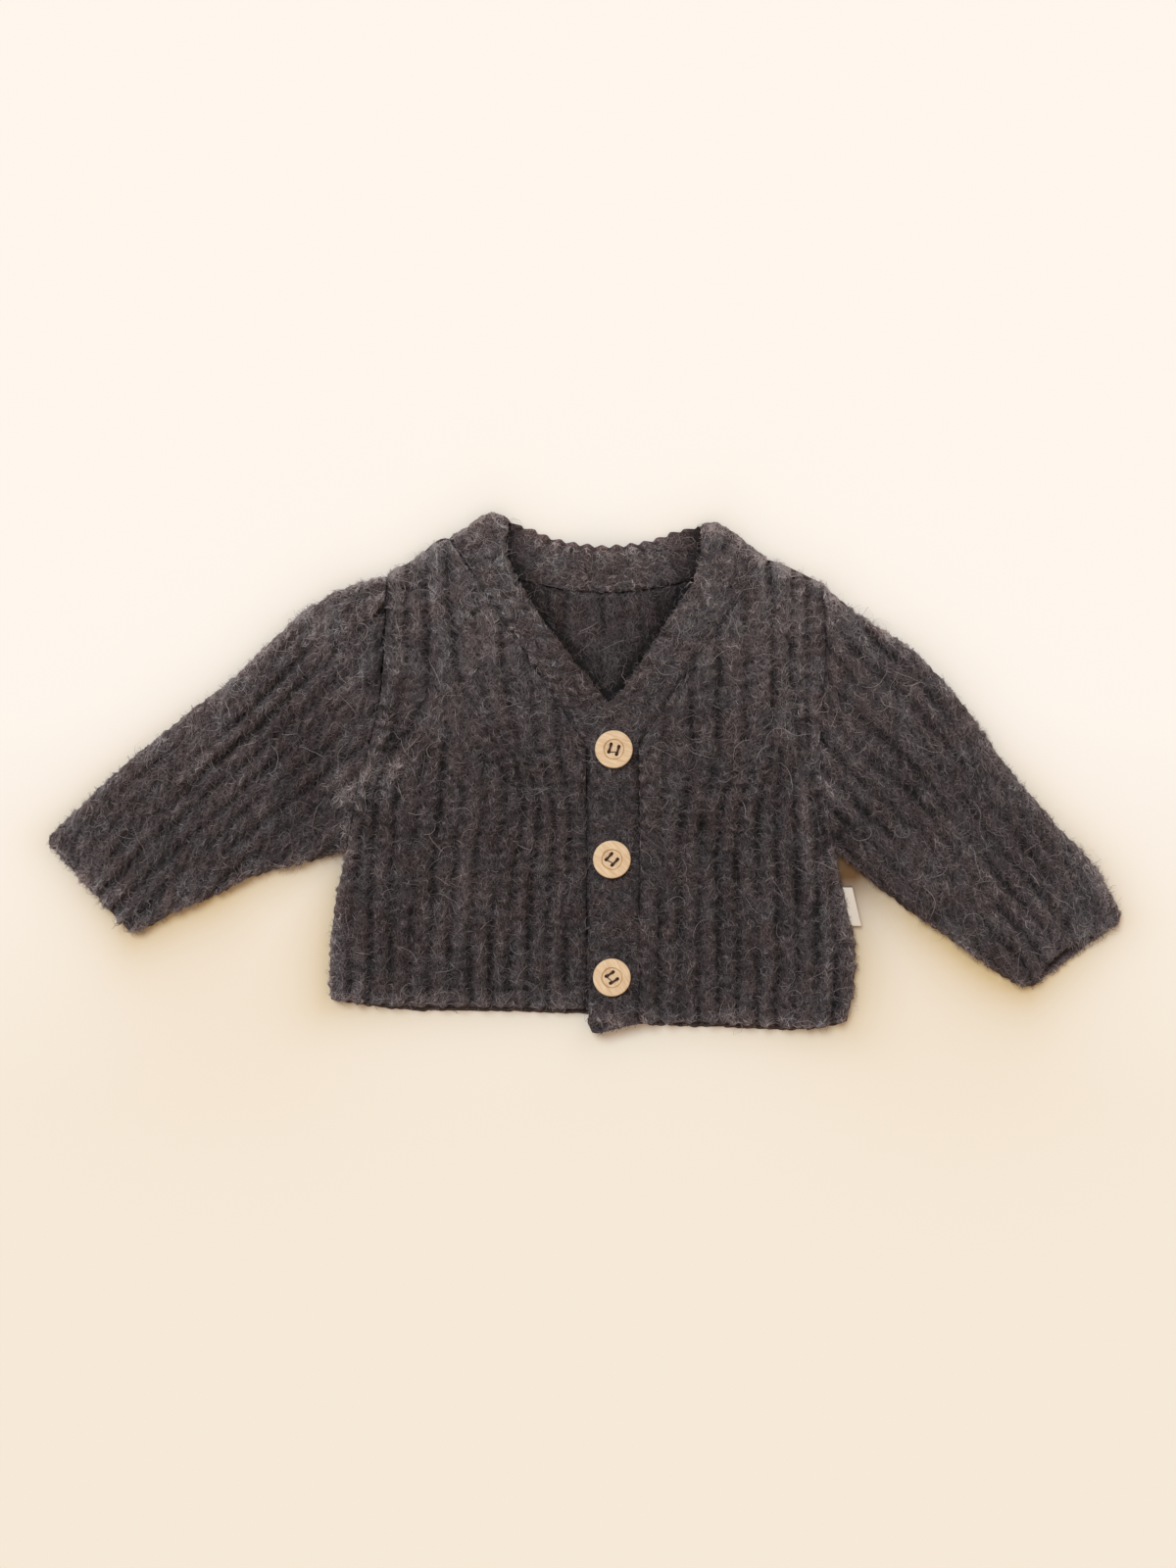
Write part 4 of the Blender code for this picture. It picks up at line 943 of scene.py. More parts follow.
class Cloth:
    """Collects the points and faces of one closed piece, with its maps and tones."""

    def __init__(self):
        self.points, self.tone = [], []
        self.faces, self.knit, self.bake = [], [], []
        self.count = 0

    def add_points(self, points, tone=1.0):
        """Add an array of points, and return their numbers in the same layout."""
        numbers = np.arange(points[..., 0].size).reshape(points.shape[:-1]) + self.count
        self.points.append(points.reshape(-1, 3))
        self.tone.append(np.broadcast_to(tone, points.shape[:-1]).reshape(-1))
        self.count += numbers.size
        return numbers

    def add_grid(self, points, knit, span, tone=1.0, closed=False, top=BAKE_TOP):
        """Add a grid with its knit map, in millimetres; span is its width in the bake map."""
        numbers = self.add_points(points, tone)
        used, knit = (ring_closed(numbers), ring_closed(knit)) if closed else (numbers, knit)
        across, up = np.linspace(*span, used.shape[1]), np.linspace(0.0, top, used.shape[0])
        bake = np.stack(np.meshgrid(across, up), axis=-1)
        self.add_faces(quads_of(used), quads_of(bake), quads_of(knit))
        return numbers

    def add_faces(self, faces, bake, knit):
        """Add faces with the places of their corners in the two maps."""
        faces = np.array(faces)
        self.faces.append(faces)
        self.bake.append(np.broadcast_to(bake, (*faces.shape, 2)))
        self.knit.append(np.broadcast_to(knit, (*faces.shape, 2)))

    def stitch(self, loop_a, loop_b, bake_row):
        """Join two closed loops of (place, number), each with places from 0 to 1."""
        ring_a = loop_a + [(1.0, loop_a[0][1])]
        ring_b = loop_b + [(1.0, loop_b[0][1])]
        a = b = 0
        faces, places = [], []
        while a < len(loop_a) or b < len(loop_b):
            if a < len(loop_a) and (b == len(loop_b) or ring_a[a + 1][0] <= ring_b[b + 1][0]):
                trio = ((ring_a[a], 0), (ring_a[a + 1], 0), (ring_b[b], 1))
                a += 1
            else:
                trio = ((ring_a[a], 0), (ring_b[b + 1], 1), (ring_b[b], 1))
                b += 1
            faces.append([number for (_, number), _ in trio])
            places.append([(place, bake_row + BAKE_STRIP * side) for (place, _), side in trio])
        self.add_faces(faces, places, np.array(places) * STITCH_MAP_SIZE)

    def make(self, name, material):
        """Make the mesh object, with its faces pointing out."""
        points = np.concatenate(self.points)
        mesh = new_mesh(name, points, self.faces)
        for title, parts in (("OFBake", self.bake), ("Knit", self.knit)):
            places = np.concatenate([part.reshape(-1, 2) for part in parts])
            fill(mesh.uv_layers.new(name=title).data, "uv", places)
        add_values(mesh, "tone", np.concatenate(self.tone))
        add_values(mesh, "warmth", warmth(points))
        turn_faces_out(mesh)
        return smooth_piece(mesh, material)


def border(numbers):
    """The rim of a grid as a loop of (place, number), a quarter of it for each side."""
    sides = (numbers[0, :], numbers[:, -1], numbers[-1, ::-1], numbers[::-1, 0])
    loop = []
    for quarter, side in enumerate(sides):
        shares = np.arange(len(side) - 1) / (len(side) - 1)
        loop += [(0.25 * (quarter + share), int(number)) for share, number in zip(shares, side)]
    return loop


def rim_points(points, inner_level):
    """Points half way down a grid's rim, bulging out, as one closed loop of the border."""
    loop = np.concatenate([points[0, :-1], points[:-1, -1], points[-1, :0:-1], points[:0:-1, 0]])
    after = np.roll(loop, -1, axis=0)
    forward = after - np.roll(loop, 1, axis=0)
    outward = unit(np.stack([forward[:, 1], -forward[:, 0]], axis=-1))
    if np.sum(loop[:, 0] * after[:, 1] - after[:, 0] * loop[:, 1]) < 0:
        outward = -outward
    middle = loop.copy()
    middle[:, :2] += RIM_BULGE * outward
    middle[:, 2] = (loop[:, 2] + inner_level) / 2
    return middle


def add_rim(cloth, outer, outer_points, inner, inner_level):
    """Close a panel round its rim, with one bulging loop between its two faces."""
    outer_loop = border(outer)
    numbers = cloth.add_points(rim_points(outer_points, inner_level), HEM_LIGHT)
    middle_loop = [(place, int(n)) for (place, _), n in zip(outer_loop, numbers)]
    cloth.stitch(outer_loop, middle_loop, BAKE_SEAMS[0])
    cloth.stitch(middle_loop, border(inner), BAKE_SEAMS[1])


# -------------------------------------------------------------------------- fibres
def sample_grid(grid, rows, columns):
    """Values of a grid at fractional rows and columns."""
    rows = np.clip(rows, 0, grid.shape[0] - 1.001)
    columns = np.clip(columns, 0, grid.shape[1] - 1.001)
    r, c = rows.astype(int), columns.astype(int)
    down, right = (rows - r)[..., None], (columns - c)[..., None]
    top = mix(grid[r, c], grid[r, c + 1], right)
    bottom = mix(grid[r + 1, c], grid[r + 1, c + 1], right)
    return mix(top, bottom, down)


def cell_areas(points):
    down = points[1:, :-1] - points[:-1, :-1]
    right = points[:-1, 1:] - points[:-1, :-1]
    return np.linalg.norm(np.cross(down, right), axis=-1)


def with_halo(points, halo):
    """A grid with one more line of points beyond each side."""
    for axis in (0, 1):
        rows = points.swapaxes(0, axis)
        ends = []
        for rim, inner in ((rows[0], rows[3]), (rows[-1], rows[-4])):
            away = rim - inner
            away[:, 2] = 0
            ends.append(rim + unit(away) * halo - np.array([0, 0, halo / 2]))
        points = np.concatenate([ends[0][None], rows, ends[1][None]]).swapaxes(0, axis)
    return points


def make_fibres(name, patches, kind, seed, material):
    """Thin flat fibres that lie along the ribs of patches of knit, as one mesh."""
    rng = np.random.default_rng(seed)
    strips, tones = [], []
    for patch in patches:
        areas = cell_areas(patch.points)
        count = int(areas.sum() / kind.area)
        x, y = np.moveaxis(patch.points[:-1, :-1, :2], -1, 0)
        wisps = np.exp(kind.gather * noise(x, y, WISP_SIZE, seed))
        weight = areas * wisps * np.maximum(patch.tone[:-1, :-1], DARKEST_WOOL) ** BRIGHT_CROWD
        cell = rng.choice(areas.size, count, p=(weight / weight.sum()).ravel())
        row = cell // areas.shape[1] + rng.random(count)
        column = cell % areas.shape[1] + rng.random(count)
        light = sample_grid(patch.tone[..., None], row, column)[:, 0]
        strips.append(fibre_strips(rng, patch, row + 1, column + 1, kind))
        chance, power, wool = FIBRE_TONE
        # Each fibre takes part of the wool's tone below, with its painted light and shade
        tone = chance * rng.random(count) ** power + wool * light + kind.pale
        tones.append(np.clip(tone, MAP_WIDTH, 1 - MAP_WIDTH))
    strips = np.concatenate(strips)
    hues = mix(rng.random(len(strips)), warmth(strips[:, 0, 0]), FIBRE_HUE) * (1 - MAP_LENGTH)
    return ribbon_mesh(name, strips, np.concatenate(tones), hues, material)


def fibre_strips(rng, patch, row, column, kind):
    """Left and right edge points of each fibre: fibres x stations x 2 x 3."""
    count = len(row)
    points, base = with_halo(patch.points, kind.halo), with_halo(patch.base, kind.halo)
    normals = np.pad(patch.normals, ((1, 1), (1, 1), (0, 0)), mode="edge")
    grid = np.concatenate([points, normals, np.gradient(base, axis=0),
                           np.gradient(base, axis=1)], axis=-1)
    step = rng.uniform(*kind.length, count) / (kind.stations - 1)
    angle = rng.normal(0, kind.spread, count)
    bend = rng.normal(0, kind.curl, count)
    bow = kind.rise * rng.random(count)
    tip = kind.tip * rng.random(count)
    path, ups = [], []
    for share in np.arange(kind.stations) / (kind.stations - 1):
        place, normal, down, right = np.split(sample_grid(grid, row, column), 4, axis=-1)
        height = bow * math.sin(math.pi * share) + tip * share ** 2 + FIBRE_LIFT
        path.append(place + normal * height[:, None])
        ups.append(normal)
        row_step, column_step = grid_step(down, right, normal, angle)
        row = row + row_step * step
        column = column + column_step * step
        angle = angle + (bend + rng.normal(0, kind.curl, count) * FIBRE_STRAY) * step
    path, ups = np.stack(path, axis=1), np.stack(ups, axis=1)
    path[..., 2] = np.maximum(path[..., 2], FIBRE_LIFT)
    side = unit(np.cross(np.gradient(path, axis=1), ups))
    taper = 1 - FIBRE_TAPER * np.linspace(-0.6, 1, kind.stations)[None, :, None] ** 2
    side *= rng.uniform(*kind.width, count)[:, None, None] / 2 * taper
    return np.stack([path - side, path + side], axis=2)


def grid_step(down, right, normal, angle):
    """Rows and columns to go one millimetre on, at an angle off the grid's columns."""
    ahead = unit(down)
    aside = np.cross(normal, ahead)
    step = np.cos(angle)[:, None] * ahead + np.sin(angle)[:, None] * aside
    dd, dr, rr = (np.sum(a * b, axis=-1) for a, b in ((down, down), (down, right), (right, right)))
    ds, rs = np.sum(down * step, axis=-1), np.sum(right * step, axis=-1)
    scale = np.maximum(dd * rr - dr ** 2, 1e-3)
    return (np.clip((rr * ds - dr * rs) / scale, -4, 4),
            np.clip((dd * rs - dr * ds) / scale, -4, 4))


def ribbon_mesh(name, strips, tones, hues, material):
    """Flat ribbons as one mesh, whose map holds each one's tone and, upwards, its hue."""
    count, stations = strips.shape[:2]
    numbers = np.arange(count * stations * 2).reshape(count, stations, 2)
    quads = np.stack([numbers[:, :-1, 0], numbers[:, :-1, 1],
                      numbers[:, 1:, 1], numbers[:, 1:, 0]], axis=-1).reshape(-1, 4)
    mesh = new_mesh(name, strips.reshape(-1, 3), [quads])
    tone = tones[:, None, None] + MAP_WIDTH * np.array([-1, 1])[None, None, :]
    hue = hues[:, None, None] + MAP_LENGTH * np.linspace(0, 1, stations)[None, :, None]
    places = np.stack(np.broadcast_arrays(tone + 0 * hue, hue + 0 * tone), axis=-1).reshape(-1, 2)
    fill(mesh.uv_layers.new(name="OFBake").data, "uv", places[quads.ravel()])
    return smooth_piece(mesh, material)


# -------------------------------------------------------------------------- fronts
def rib_knots(front):
    """Rib places of a course's four points."""
    return 0, front.outer_rib, front.inner_rib, front.edge_rib


def front_ribs(front):
    """Rib places of a front's columns."""
    knots = rib_knots(front)
    runs = [np.linspace(low, high, count, endpoint=False)
            for low, high, count in zip(knots, knots[1:], front.samples)]
    return np.concatenate([*runs, [float(front.edge_rib)]])


def front_points(front, ribs, rows):
    """Points of a front at these rib places and course places."""
    curves = np.stack([spline(part, rows) for part in zip(*front.courses)], axis=1)
    grid = np.empty((len(rows), len(ribs), 2))
    for line, course in zip(grid, curves):
        for axis in (0, 1):
            line[:, axis] = np.interp(ribs, rib_knots(front), course[:, axis])
    return grid


def front_depths(front, rows):
    """Depth of each groove of a front along its rows."""
    closed = rise(rows, *CLOSING_COURSES)
    return {groove: 1 - closed if front.outer_rib < groove < front.inner_rib
            else np.ones(len(rows)) for groove in range(1, front.edge_rib)}


def make_front(front, material):
    rows = even_places(field_of(front.courses, "outer"), FINE)
    ribs = front_ribs(front)
    points = front_points(front, ribs, rows)
    knit = panel_knit(points, ribs, front_depths(front, rows), front.seed)
    knit = knit._replace(depth=knit.depth * mix(*GROOVE_SHARES, rise(points[..., 1], *CHEST)))
    armhole = smooth((rows - UNDERARM_COURSE + ARMHOLE_START) / (2 * ARMHOLE_START))
    dip = (seam_dip(knit.across[:, -1:] - knit.across)
           + seam_dip(knit.across) * armhole[:, None] * armhole_hold(points))
    patch = upper_layer(points, knit, front.seed, dip, knit.row, UPPER + FRONT_WALL)
    draw_out(patch.points, "first row", knit.across[0], inset=HEM_INSET)
    draw_out(patch.points, "first column", knit.row[:, 0], amount=1 - armhole)
    round_corner(patch.points, "first row", "first column")

    inner_rows = rows[::UNDER_STEP]
    if (len(rows) - 1) % UNDER_STEP:
        inner_rows = np.append(inner_rows, rows[-1])
    inner = front_points(front, np.linspace(0, front.edge_rib, UNDER_COLUMNS), inner_rows)
    inner = with_height(inner, upper_faces(inner)[0])
    draw_out(inner, "first row", inner[0, :, 0].copy(), inset=HEM_INSET + UNDER_INSET)

    cloth = Cloth()
    outer_numbers = cloth.add_grid(patch.points, knit_map(knit), (0.0, 0.7), patch.tone)
    inner_numbers = cloth.add_grid(inner, inner[..., :2], (0.72, 1.0), INNER_TONE)
    add_rim(cloth, outer_numbers, patch.points, inner_numbers, UPPER)
    return cloth.make("knit_" + front.name, material), [patch], cut_size(points)


# ---------------------------------------------------------------------------- back
def back_points(lines, rows):
    """Points of the back at line places and course places, between its four edges."""
    across = (lines / (len(BACK_LINES) - 1))[None, :, None]
    up = (rows / LAST_COURSE)[:, None, None]
    hem, top = (spline(field_of(BACK_LINES, end), lines)[None] for end in ("hem", "top"))
    right, left = (spline(field_of(courses, "side"), rows)[:, None]
                   for courses in (RIGHT_COURSES, LEFT_COURSES))
    corners = mix(mix(hem[:, :1], hem[:, -1:], across), mix(top[:, :1], top[:, -1:], across), up)
    return mix(right, left, across) + mix(hem, top, up) - corners


def two_step_places(high, shown, fine, coarse):
    """Places from 0 to high, fine where the piece shows and coarse elsewhere."""
    runs = ((0, shown[0], coarse), (shown[0], shown[1], fine), (shown[1], high, coarse))
    parts = [np.linspace(a, b, max(int((b - a) / step), 1), endpoint=False)
             for a, b, step in runs if b > a]
    return np.concatenate([*parts, [high]])


def back_layer(lines, rows, seed):
    """The points of one face of the back, without its relief, and its knit."""
    points = back_points(lines, rows)
    ribs = lines / (len(BACK_LINES) - 1) * BACK_RIBS
    depths = {groove: np.ones(len(rows)) for groove in range(1, BACK_RIBS)}
    return points, panel_knit(points, ribs, depths, seed)


def finish_hem(layer, across):
    draw_out(layer, "first row", across, inset=HEM_INSET)
    round_corners(layer, "first row")


def make_back(material):
    last_line = len(BACK_LINES) - 1
    line_step, row_step = FINE / (BACK_SIZE[0] / last_line), FINE / (BACK_SIZE[1] / LAST_COURSE)
    lines = two_step_places(last_line, SHOWN_LINES, line_step, line_step * BACK_SIDES / FINE)
    rows = two_step_places(LAST_COURSE, SHOWN_ROWS, row_step, row_step * (BACK_COARSE / FINE))
    hem_rows = np.arange(1, BACK_HEM_ROWS + 1) * row_step
    rows = np.concatenate([[0.0], hem_rows, rows[rows > hem_rows[-1] + row_step]])
    points, knit = back_layer(lines, rows, BACK_SEED)
    relief, hollow = knit_relief(knit._replace(depth=knit.depth * BACK_SHARE), BACK_SEED)
    edge = rim_distance(points)
    height = WALL - (WALL - EDGE_WALL) * (1 - np.clip(edge / HEM_ROLL, 0, 1)) ** 2
    height = height + np.clip(relief, -BACK_PIT, BACK_PEAK) * smooth(edge / BACK_EDGE_EASE)
    outer = with_height(points, height)
    finish_hem(outer, knit.across[0])
    # Painted shade: the back is darkened overall, and more beside the V's strands
    shade = BACK_SHADE * shade_of_vee(points)
    tone = BACK_LIGHT * knit_tone(points, BACK_HOLLOW * hollow) * (1 - shade)

    under_lines = np.linspace(0, last_line, BACK_UNDER_COLUMNS)
    under_rows = np.linspace(0, LAST_COURSE, BACK_UNDER_ROWS)
    flat, under_knit = back_layer(under_lines, under_rows, BACK_SEED + UNDER_SEED)
    under_relief, under_hollow = knit_relief(under_knit, BACK_SEED + UNDER_SEED)
    flat = inset_rim(flat, BACK_EDGE_INSET)
    under = with_height(flat, UNDER_GROOVE * np.clip(-under_relief, 0, None))
    finish_hem(under, under_knit.across[0])

    cloth = Cloth()
    numbers = cloth.add_grid(outer, knit_map(knit), (0.0, 0.49), tone)
    under_tone = knit_tone(flat, under_hollow)
    under_numbers = cloth.add_grid(under, knit_map(under_knit), (0.51, 1.0), under_tone)
    add_rim(cloth, numbers, outer, under_numbers, BACK_RIM_LEVEL)
    shown_lines = (lines > SHOWN_LINES[0]) & (lines < SHOWN_LINES[1])
    shown_rows = (rows > SHOWN_ROWS[0]) & (rows < SHOWN_ROWS[1])
    windows = (np.ix_(shown_rows, shown_lines), np.s_[:BACK_HEM_ROWS, :])
    patches = [lying_patch(outer[window], tone[window]) for window in windows]
    return cloth.make("knit_back", material), patches, cut_size(points)


def lying_patch(points, tone):
    """A patch whose fibres lie level."""
    return Patch(points, points, np.zeros_like(points) + np.array([0, 0, 1.0]), tone)


def rim_distance(points):
    """Distance of each point of a grid from the nearest side of the grid."""
    sides = (points[0], points[-1], points[:, 0], points[:, -1])
    return distance_to_paths(points, [side[::4] for side in sides])


def shade_of_vee(points, spread=1.0):
    """How deep in the shade beside the two strands of the V each point is, from 0 to 1."""
    down = VEE_SHADE_TOP - points[..., 1]
    widened = VEE_SHADE_WIDENS * np.clip(down, 0, VEE_WIDE_DOWN)
    narrowed = VEE_SHADE_NARROWS * np.clip(down - VEE_NARROW_DOWN[0], 0, VEE_NARROW_DOWN[1])
    shades = []
    for free, reach in zip((RIGHT_VEE_FREE, LEFT_VEE_FREE), VEE_SHADE_REACH):
        reach = spread * (reach + widened - narrowed)
        shades.append(np.exp(-(distance_to_path(points, smooth_path(free)) / reach) ** 2))
    return np.maximum(*shades)


def inset_rim(points, inset):
    """Move the rim of a grid of points towards its middle."""
    moved = points.copy()
    away = np.pad(points[1:-1, 1:-1], ((1, 1), (1, 1), (0, 0)), mode="edge") - points
    step = np.minimum(inset, INSET_SHARE * np.linalg.norm(away, axis=-1, keepdims=True))
    rim = np.ones(points.shape[:2], bool)
    rim[1:-1, 1:-1] = False
    moved[rim] = (points + unit(away) * step)[rim]
    return moved


# ------------------------------------------------------------------------- sleeves
def sleeve_points(sleeve, rows, across, opened):
    """Points of a sleeve at row places and shares across it; opened draws the cuff back."""
    over, under = (spline(field_of(sleeve.rows, edge), rows)[:, None] for edge in ("over", "under"))
    seam = spline(field_of(sleeve.courses, "side"), np.linspace(LAST_COURSE, UNDERARM_COURSE, 80))
    shares = np.broadcast_to(across, (len(rows), len(across)))
    point = mix(over, under, shares[..., None])
    chord = mix(over[0], under[0], shares[0][:, None])
    length = rows[:, None, None] / (len(sleeve.rows) - 1)
    fade = np.maximum(1 - length / SLEEVE_BEND, 0.0) ** 2
    point = point + fade * (along(seam, shares[0]) - chord)[None]
    middle = (over[:, 0] + under[:, 0]) / 2
    forward = unit(np.gradient(middle, axis=0))
    inset = SEAM_INSET * (1 - smooth(lengths(middle) / SEAM_INSET_REACH))
    drawn = rise(rows, rows[-1] - CUFF_DRAWN, rows[-1])[:, None]
    bow = opened * np.sin(math.pi * shares) ** 2
    if opened:
        bow = bow + CUFF_GAPE * np.sin(math.pi * shares ** 2) ** 2
    return point + (inset[:, None] - drawn * bow)[..., None] * forward[:, None]


def sleeve_knit(sleeve, points, rows, across, seed):
    """The knit of a sleeve, whose ribs run off its edges, with rib places from its table."""
    over, under = (spline(field_of(sleeve.rows, end), rows)[:, None]
                   for end in ("rib_over", "rib_under"))
    ribs = mix(over, under, across[None, :])
    width, row = ribs * RIB_PITCH, lengths(points)
    ribs = ribs + WOBBLE / RIB_PITCH * noise(width, row, WOBBLE_SIZE, seed + WOBBLE_SEED)
    gap = np.abs(ribs - np.round(ribs)) * RIB_PITCH
    patches = noise(width, row, SLEEVE_PATCH_SIZE, seed + SLEEVE_PATCH_SEED)
    depth = sleeve.rib_depth + SLEEVE_PATCHES * patches
    depth = depth * mix(SLEEVE_EDGE_RIBS, 1.0, rise(ribs, *SLEEVE_FULL_RIBS))
    return Knit(width, row, gap, np.full(gap.shape, RIB_PITCH / 2), np.floor(ribs), depth)


def edge_shares(count):
    """Shares from 0 to 1 that crowd towards both ends."""
    even = np.linspace(0, 1, count)
    return mix(even, (1 - np.cos(math.pi * even)) / 2, EDGE_CROWD)


def finish_edges(layer, row, across, columns):
    """Draw out the two folded edges and the cuff of one side of a sleeve."""
    for side, number in zip(("first column", "last column"), columns):
        draw_out(layer, side, row[:, number])
    draw_out(layer, "last row", across[-1], CUFF_PITCH)
    round_corners(layer, "last row")


def sleeve_upper(sleeve, rows):
    """The upper side of a sleeve: its points without height, its knit and its patch."""
    shares = edge_shares(SLEEVE_UPPER_COLUMNS)
    flat = sleeve_points(sleeve, rows, shares, sleeve.cuff_open)
    knit = sleeve_knit(sleeve, flat, rows, shares, sleeve.seed)
    dip = seam_dip(knit.row) * armhole_hold(flat)
    patch = upper_layer(flat, knit, sleeve.seed, dip, knit.row[-1:] - knit.row, UPPER)
    finish_edges(patch.points, knit.row, knit.across, (0, -1))
    return flat, knit, patch._replace(tone=SLEEVE_LIGHT * patch.tone)


def sleeve_under(sleeve, rows, upper_row):
    """The under side of a sleeve: its points, its knit, its tone and the cuff's width."""
    shares = edge_shares(SLEEVE_UNDER_COLUMNS + 2)[::-1]
    flat = sleeve_points(sleeve, rows, shares, 0.0)
    knit = sleeve_knit(sleeve, flat, rows, shares, sleeve.seed + UNDER_SEED)
    relief, hollow = knit_relief(knit, sleeve.seed + UNDER_SEED)
    width = np.linalg.norm(flat[:, :1] - flat[:, -1:], axis=-1)
    from_edge = np.minimum(shares, 1 - shares)[None, :] * width
    near = 1 - np.clip(from_edge / UNDER_ROLL, 0, 1)
    level = FOLD_LEVEL * (1 - np.sqrt(1 - near ** 2))
    under = with_height(flat, level + UNDER_GROOVE * np.clip(-relief, 0, None))
    under[:, 0, 2] = under[:, -1, 2] = FOLD_LEVEL
    finish_edges(under, upper_row, knit.across, (-1, 0))
    return under, knit, knit_tone(flat, hollow), width[-1, 0]


def sleeve_hollow(sleeve, rows, cuff_width):
    """The plain hollow of a sleeve, as a closed ring for each row."""
    over, under = (spline(field_of(sleeve.rows, edge), rows) for edge in ("over", "under"))
    margin = SLEEVE_HOLLOW / np.linalg.norm(over - under, axis=-1).mean()
    shares = mix(margin, 1 - margin, np.linspace(0, 1, HOLLOW_COLUMNS))
    top = sleeve_points(sleeve, rows, shares, sleeve.cuff_open)
    bottom = sleeve_points(sleeve, rows, shares[::-1], 0.0)
    halves = (with_height(top, upper_faces(top)[0] + GAP),
              with_height(bottom, np.full(bottom.shape[:2], WALL)))
    for half in halves:
        draw_out(half, "last row", np.linspace(0, cuff_width, HOLLOW_COLUMNS), CUFF_PITCH)
    return np.concatenate(halves, axis=1)


def make_sleeve(sleeve, material):
    middle = [(np.array(row.over) + row.under) / 2 for row in sleeve.rows]
    rows = even_places(middle, SLEEVE_STEP)
    flat, knit, patch = sleeve_upper(sleeve, rows)
    under, under_knit, under_tone, cuff_width = sleeve_under(sleeve, rows, knit.row)

    cloth = Cloth()
    ring = np.concatenate([patch.points, under], axis=1)
    ring_tone = np.concatenate([patch.tone, under_tone], axis=1)
    ring_map = np.concatenate([knit_map(knit), knit_map(under_knit) + UNDER_MAP_SHIFT], axis=1)
    outer = cloth.add_grid(ring, ring_map, (0.0, 0.8), ring_tone, closed=True)
    hollow = sleeve_hollow(sleeve, rows, cuff_width)
    # Painted light at the cuff's mouth, fading to painted shade deep inside the sleeve's hollow
    deep = smooth((lengths(hollow)[-1:] - lengths(hollow)) / CUFF_GLOW)
    tone = mix(*CUFF_TONES, deep)
    inner = cloth.add_grid(hollow, hollow[..., :2], (0.82, 1.0), tone, closed=True)
    for end, bake_row in zip((0, -1), BAKE_SEAMS):
        cloth.stitch(ring_loop(outer[end], ring[end]), ring_loop(inner[end], hollow[end]), bake_row)
    patches = [patch]
    if sleeve.cuff_open:
        shown = np.s_[-SHOWN_CUFF:, HOLLOW_COLUMNS:]
        patches.append(lying_patch(hollow[shown], tone[shown]))
    return cloth.make("knit_" + sleeve.name, material), patches, cut_size(flat, layers=2)


def ring_loop(numbers, points):
    """A closed ring as a loop of (place, number), by how far round its flat section each is."""
    middle = (points.max(0) + points.min(0)) / 2
    long_way = points[np.argmax(np.linalg.norm(points - middle, axis=-1))] - middle
    long_way[2] = 0
    long_way /= np.linalg.norm(long_way)
    run = (points - middle) @ long_way
    share = (run - run.min()) / (run.max() - run.min())
    upper = points[:, 2] > (WALL + UPPER) / 2
    place = np.where(upper, share / 2, 1 - share / 2)
    order = np.argsort(place)
    place = place[order] - place[order][0]
    return [(float(p), int(n)) for p, n in zip(place, numbers[order])]


# ---------------------------------------------------------------------------- band
Station = namedtuple("Station", "seam free seam_level free_level roll bow rib_out rib_in run")


def set_back(shoulder, below):
    """Point a little below a shoulder point, where the band's fold starts."""
    shoulder, below = np.array(shoulder), np.array(below)
    return mix(shoulder, below, FOLD_SETBACK / np.linalg.norm(below - shoulder))


def vee_line(front):
    """A front's seam with the band up the V."""
    top = front.courses[-1]
    return [top.edge, set_back(top.inner, top.edge)]


def neck_line():
    """The back's seam with the band, round the back of the neck."""
    line = field_of(BACK_LINES[BACK_NECK[0]:BACK_NECK[1] + 1], "top")
    return smooth_path([set_back(*line[:2]), *line[1:-1], set_back(*line[:-3:-1])])


def fold_bow(place):
    """How far the band bows out at the fold of the shoulder on this place's side."""
    return FOLD_BOW[0] if place[0] < BACK_NECK_FREE[3][0] else FOLD_BOW[1]


def stretch_stations(seam, free, levels, ribs, to_fold, start):
    """Stations along one stretch.

    levels, ribs and to_fold give, for a share of its length, the heights of its two edges,
    of the ribs on its two faces, and the share from there to the nearest fold. start is
    the band's length before the stretch.
    """
    seam, free = np.asarray(seam, float), smooth_path(free)
    length = lengths(seam)[-1]
    mean_length = (length + lengths(free)[-1]) / 2
    stations = []
    for share in np.linspace(0, 1, int(round(mean_length / BAND_STEP)) + 1):
        place = along(seam, share)
        bow = fold_bow(place) * float(smooth(1 - to_fold(share) * length / FOLD_BOW_REACH))
        stations.append(Station(place, along(free, share), *levels(share), 0.0, bow,
                                *ribs(share), start + share * mean_length))
    return stations


def fold_stations(vee, neck):
    """Stations round a shoulder, where the band turns over from the V to the back neck."""
    stations = []
    for k in range(1, FOLD_STATIONS):
        share = k / FOLD_STATIONS
        blend = float(smooth(share * FOLD_TURN_SHARE))
        run = vee.run + math.copysign(FOLD_RUN, neck.run - vee.run) * share
        stations.append(Station(mix(vee.seam, neck.seam, blend), mix(vee.free, neck.free, blend),
                                0.0, 0.0, math.pi * share, fold_bow(vee.seam),
                                BAND_RIB * 0.5, 0.0, run))
    return stations


def vee_levels(start):
    """Heights along a V strand that sets off at height start and ends on the lower layer."""
    def levels(share):
        settled = smooth(share / VEE_RISE_END)
        crest = settled * smooth((1 - share) / VEE_FALL)
        level = mix(start, BAND_UNDER_LEVEL, settled)
        return level + VEE_SEAM_RISE * crest, level + VEE_FREE_RISE * crest
    return levels


def neck_levels(share):
    """Heights round the back of the neck, where the free edge stands up."""
    stand = NECK_STAND * rise(min(share, 1 - share), NECK_STAND_START, 0.5)
    return BAND_BACK_LEVEL, BAND_BACK_LEVEL + stand


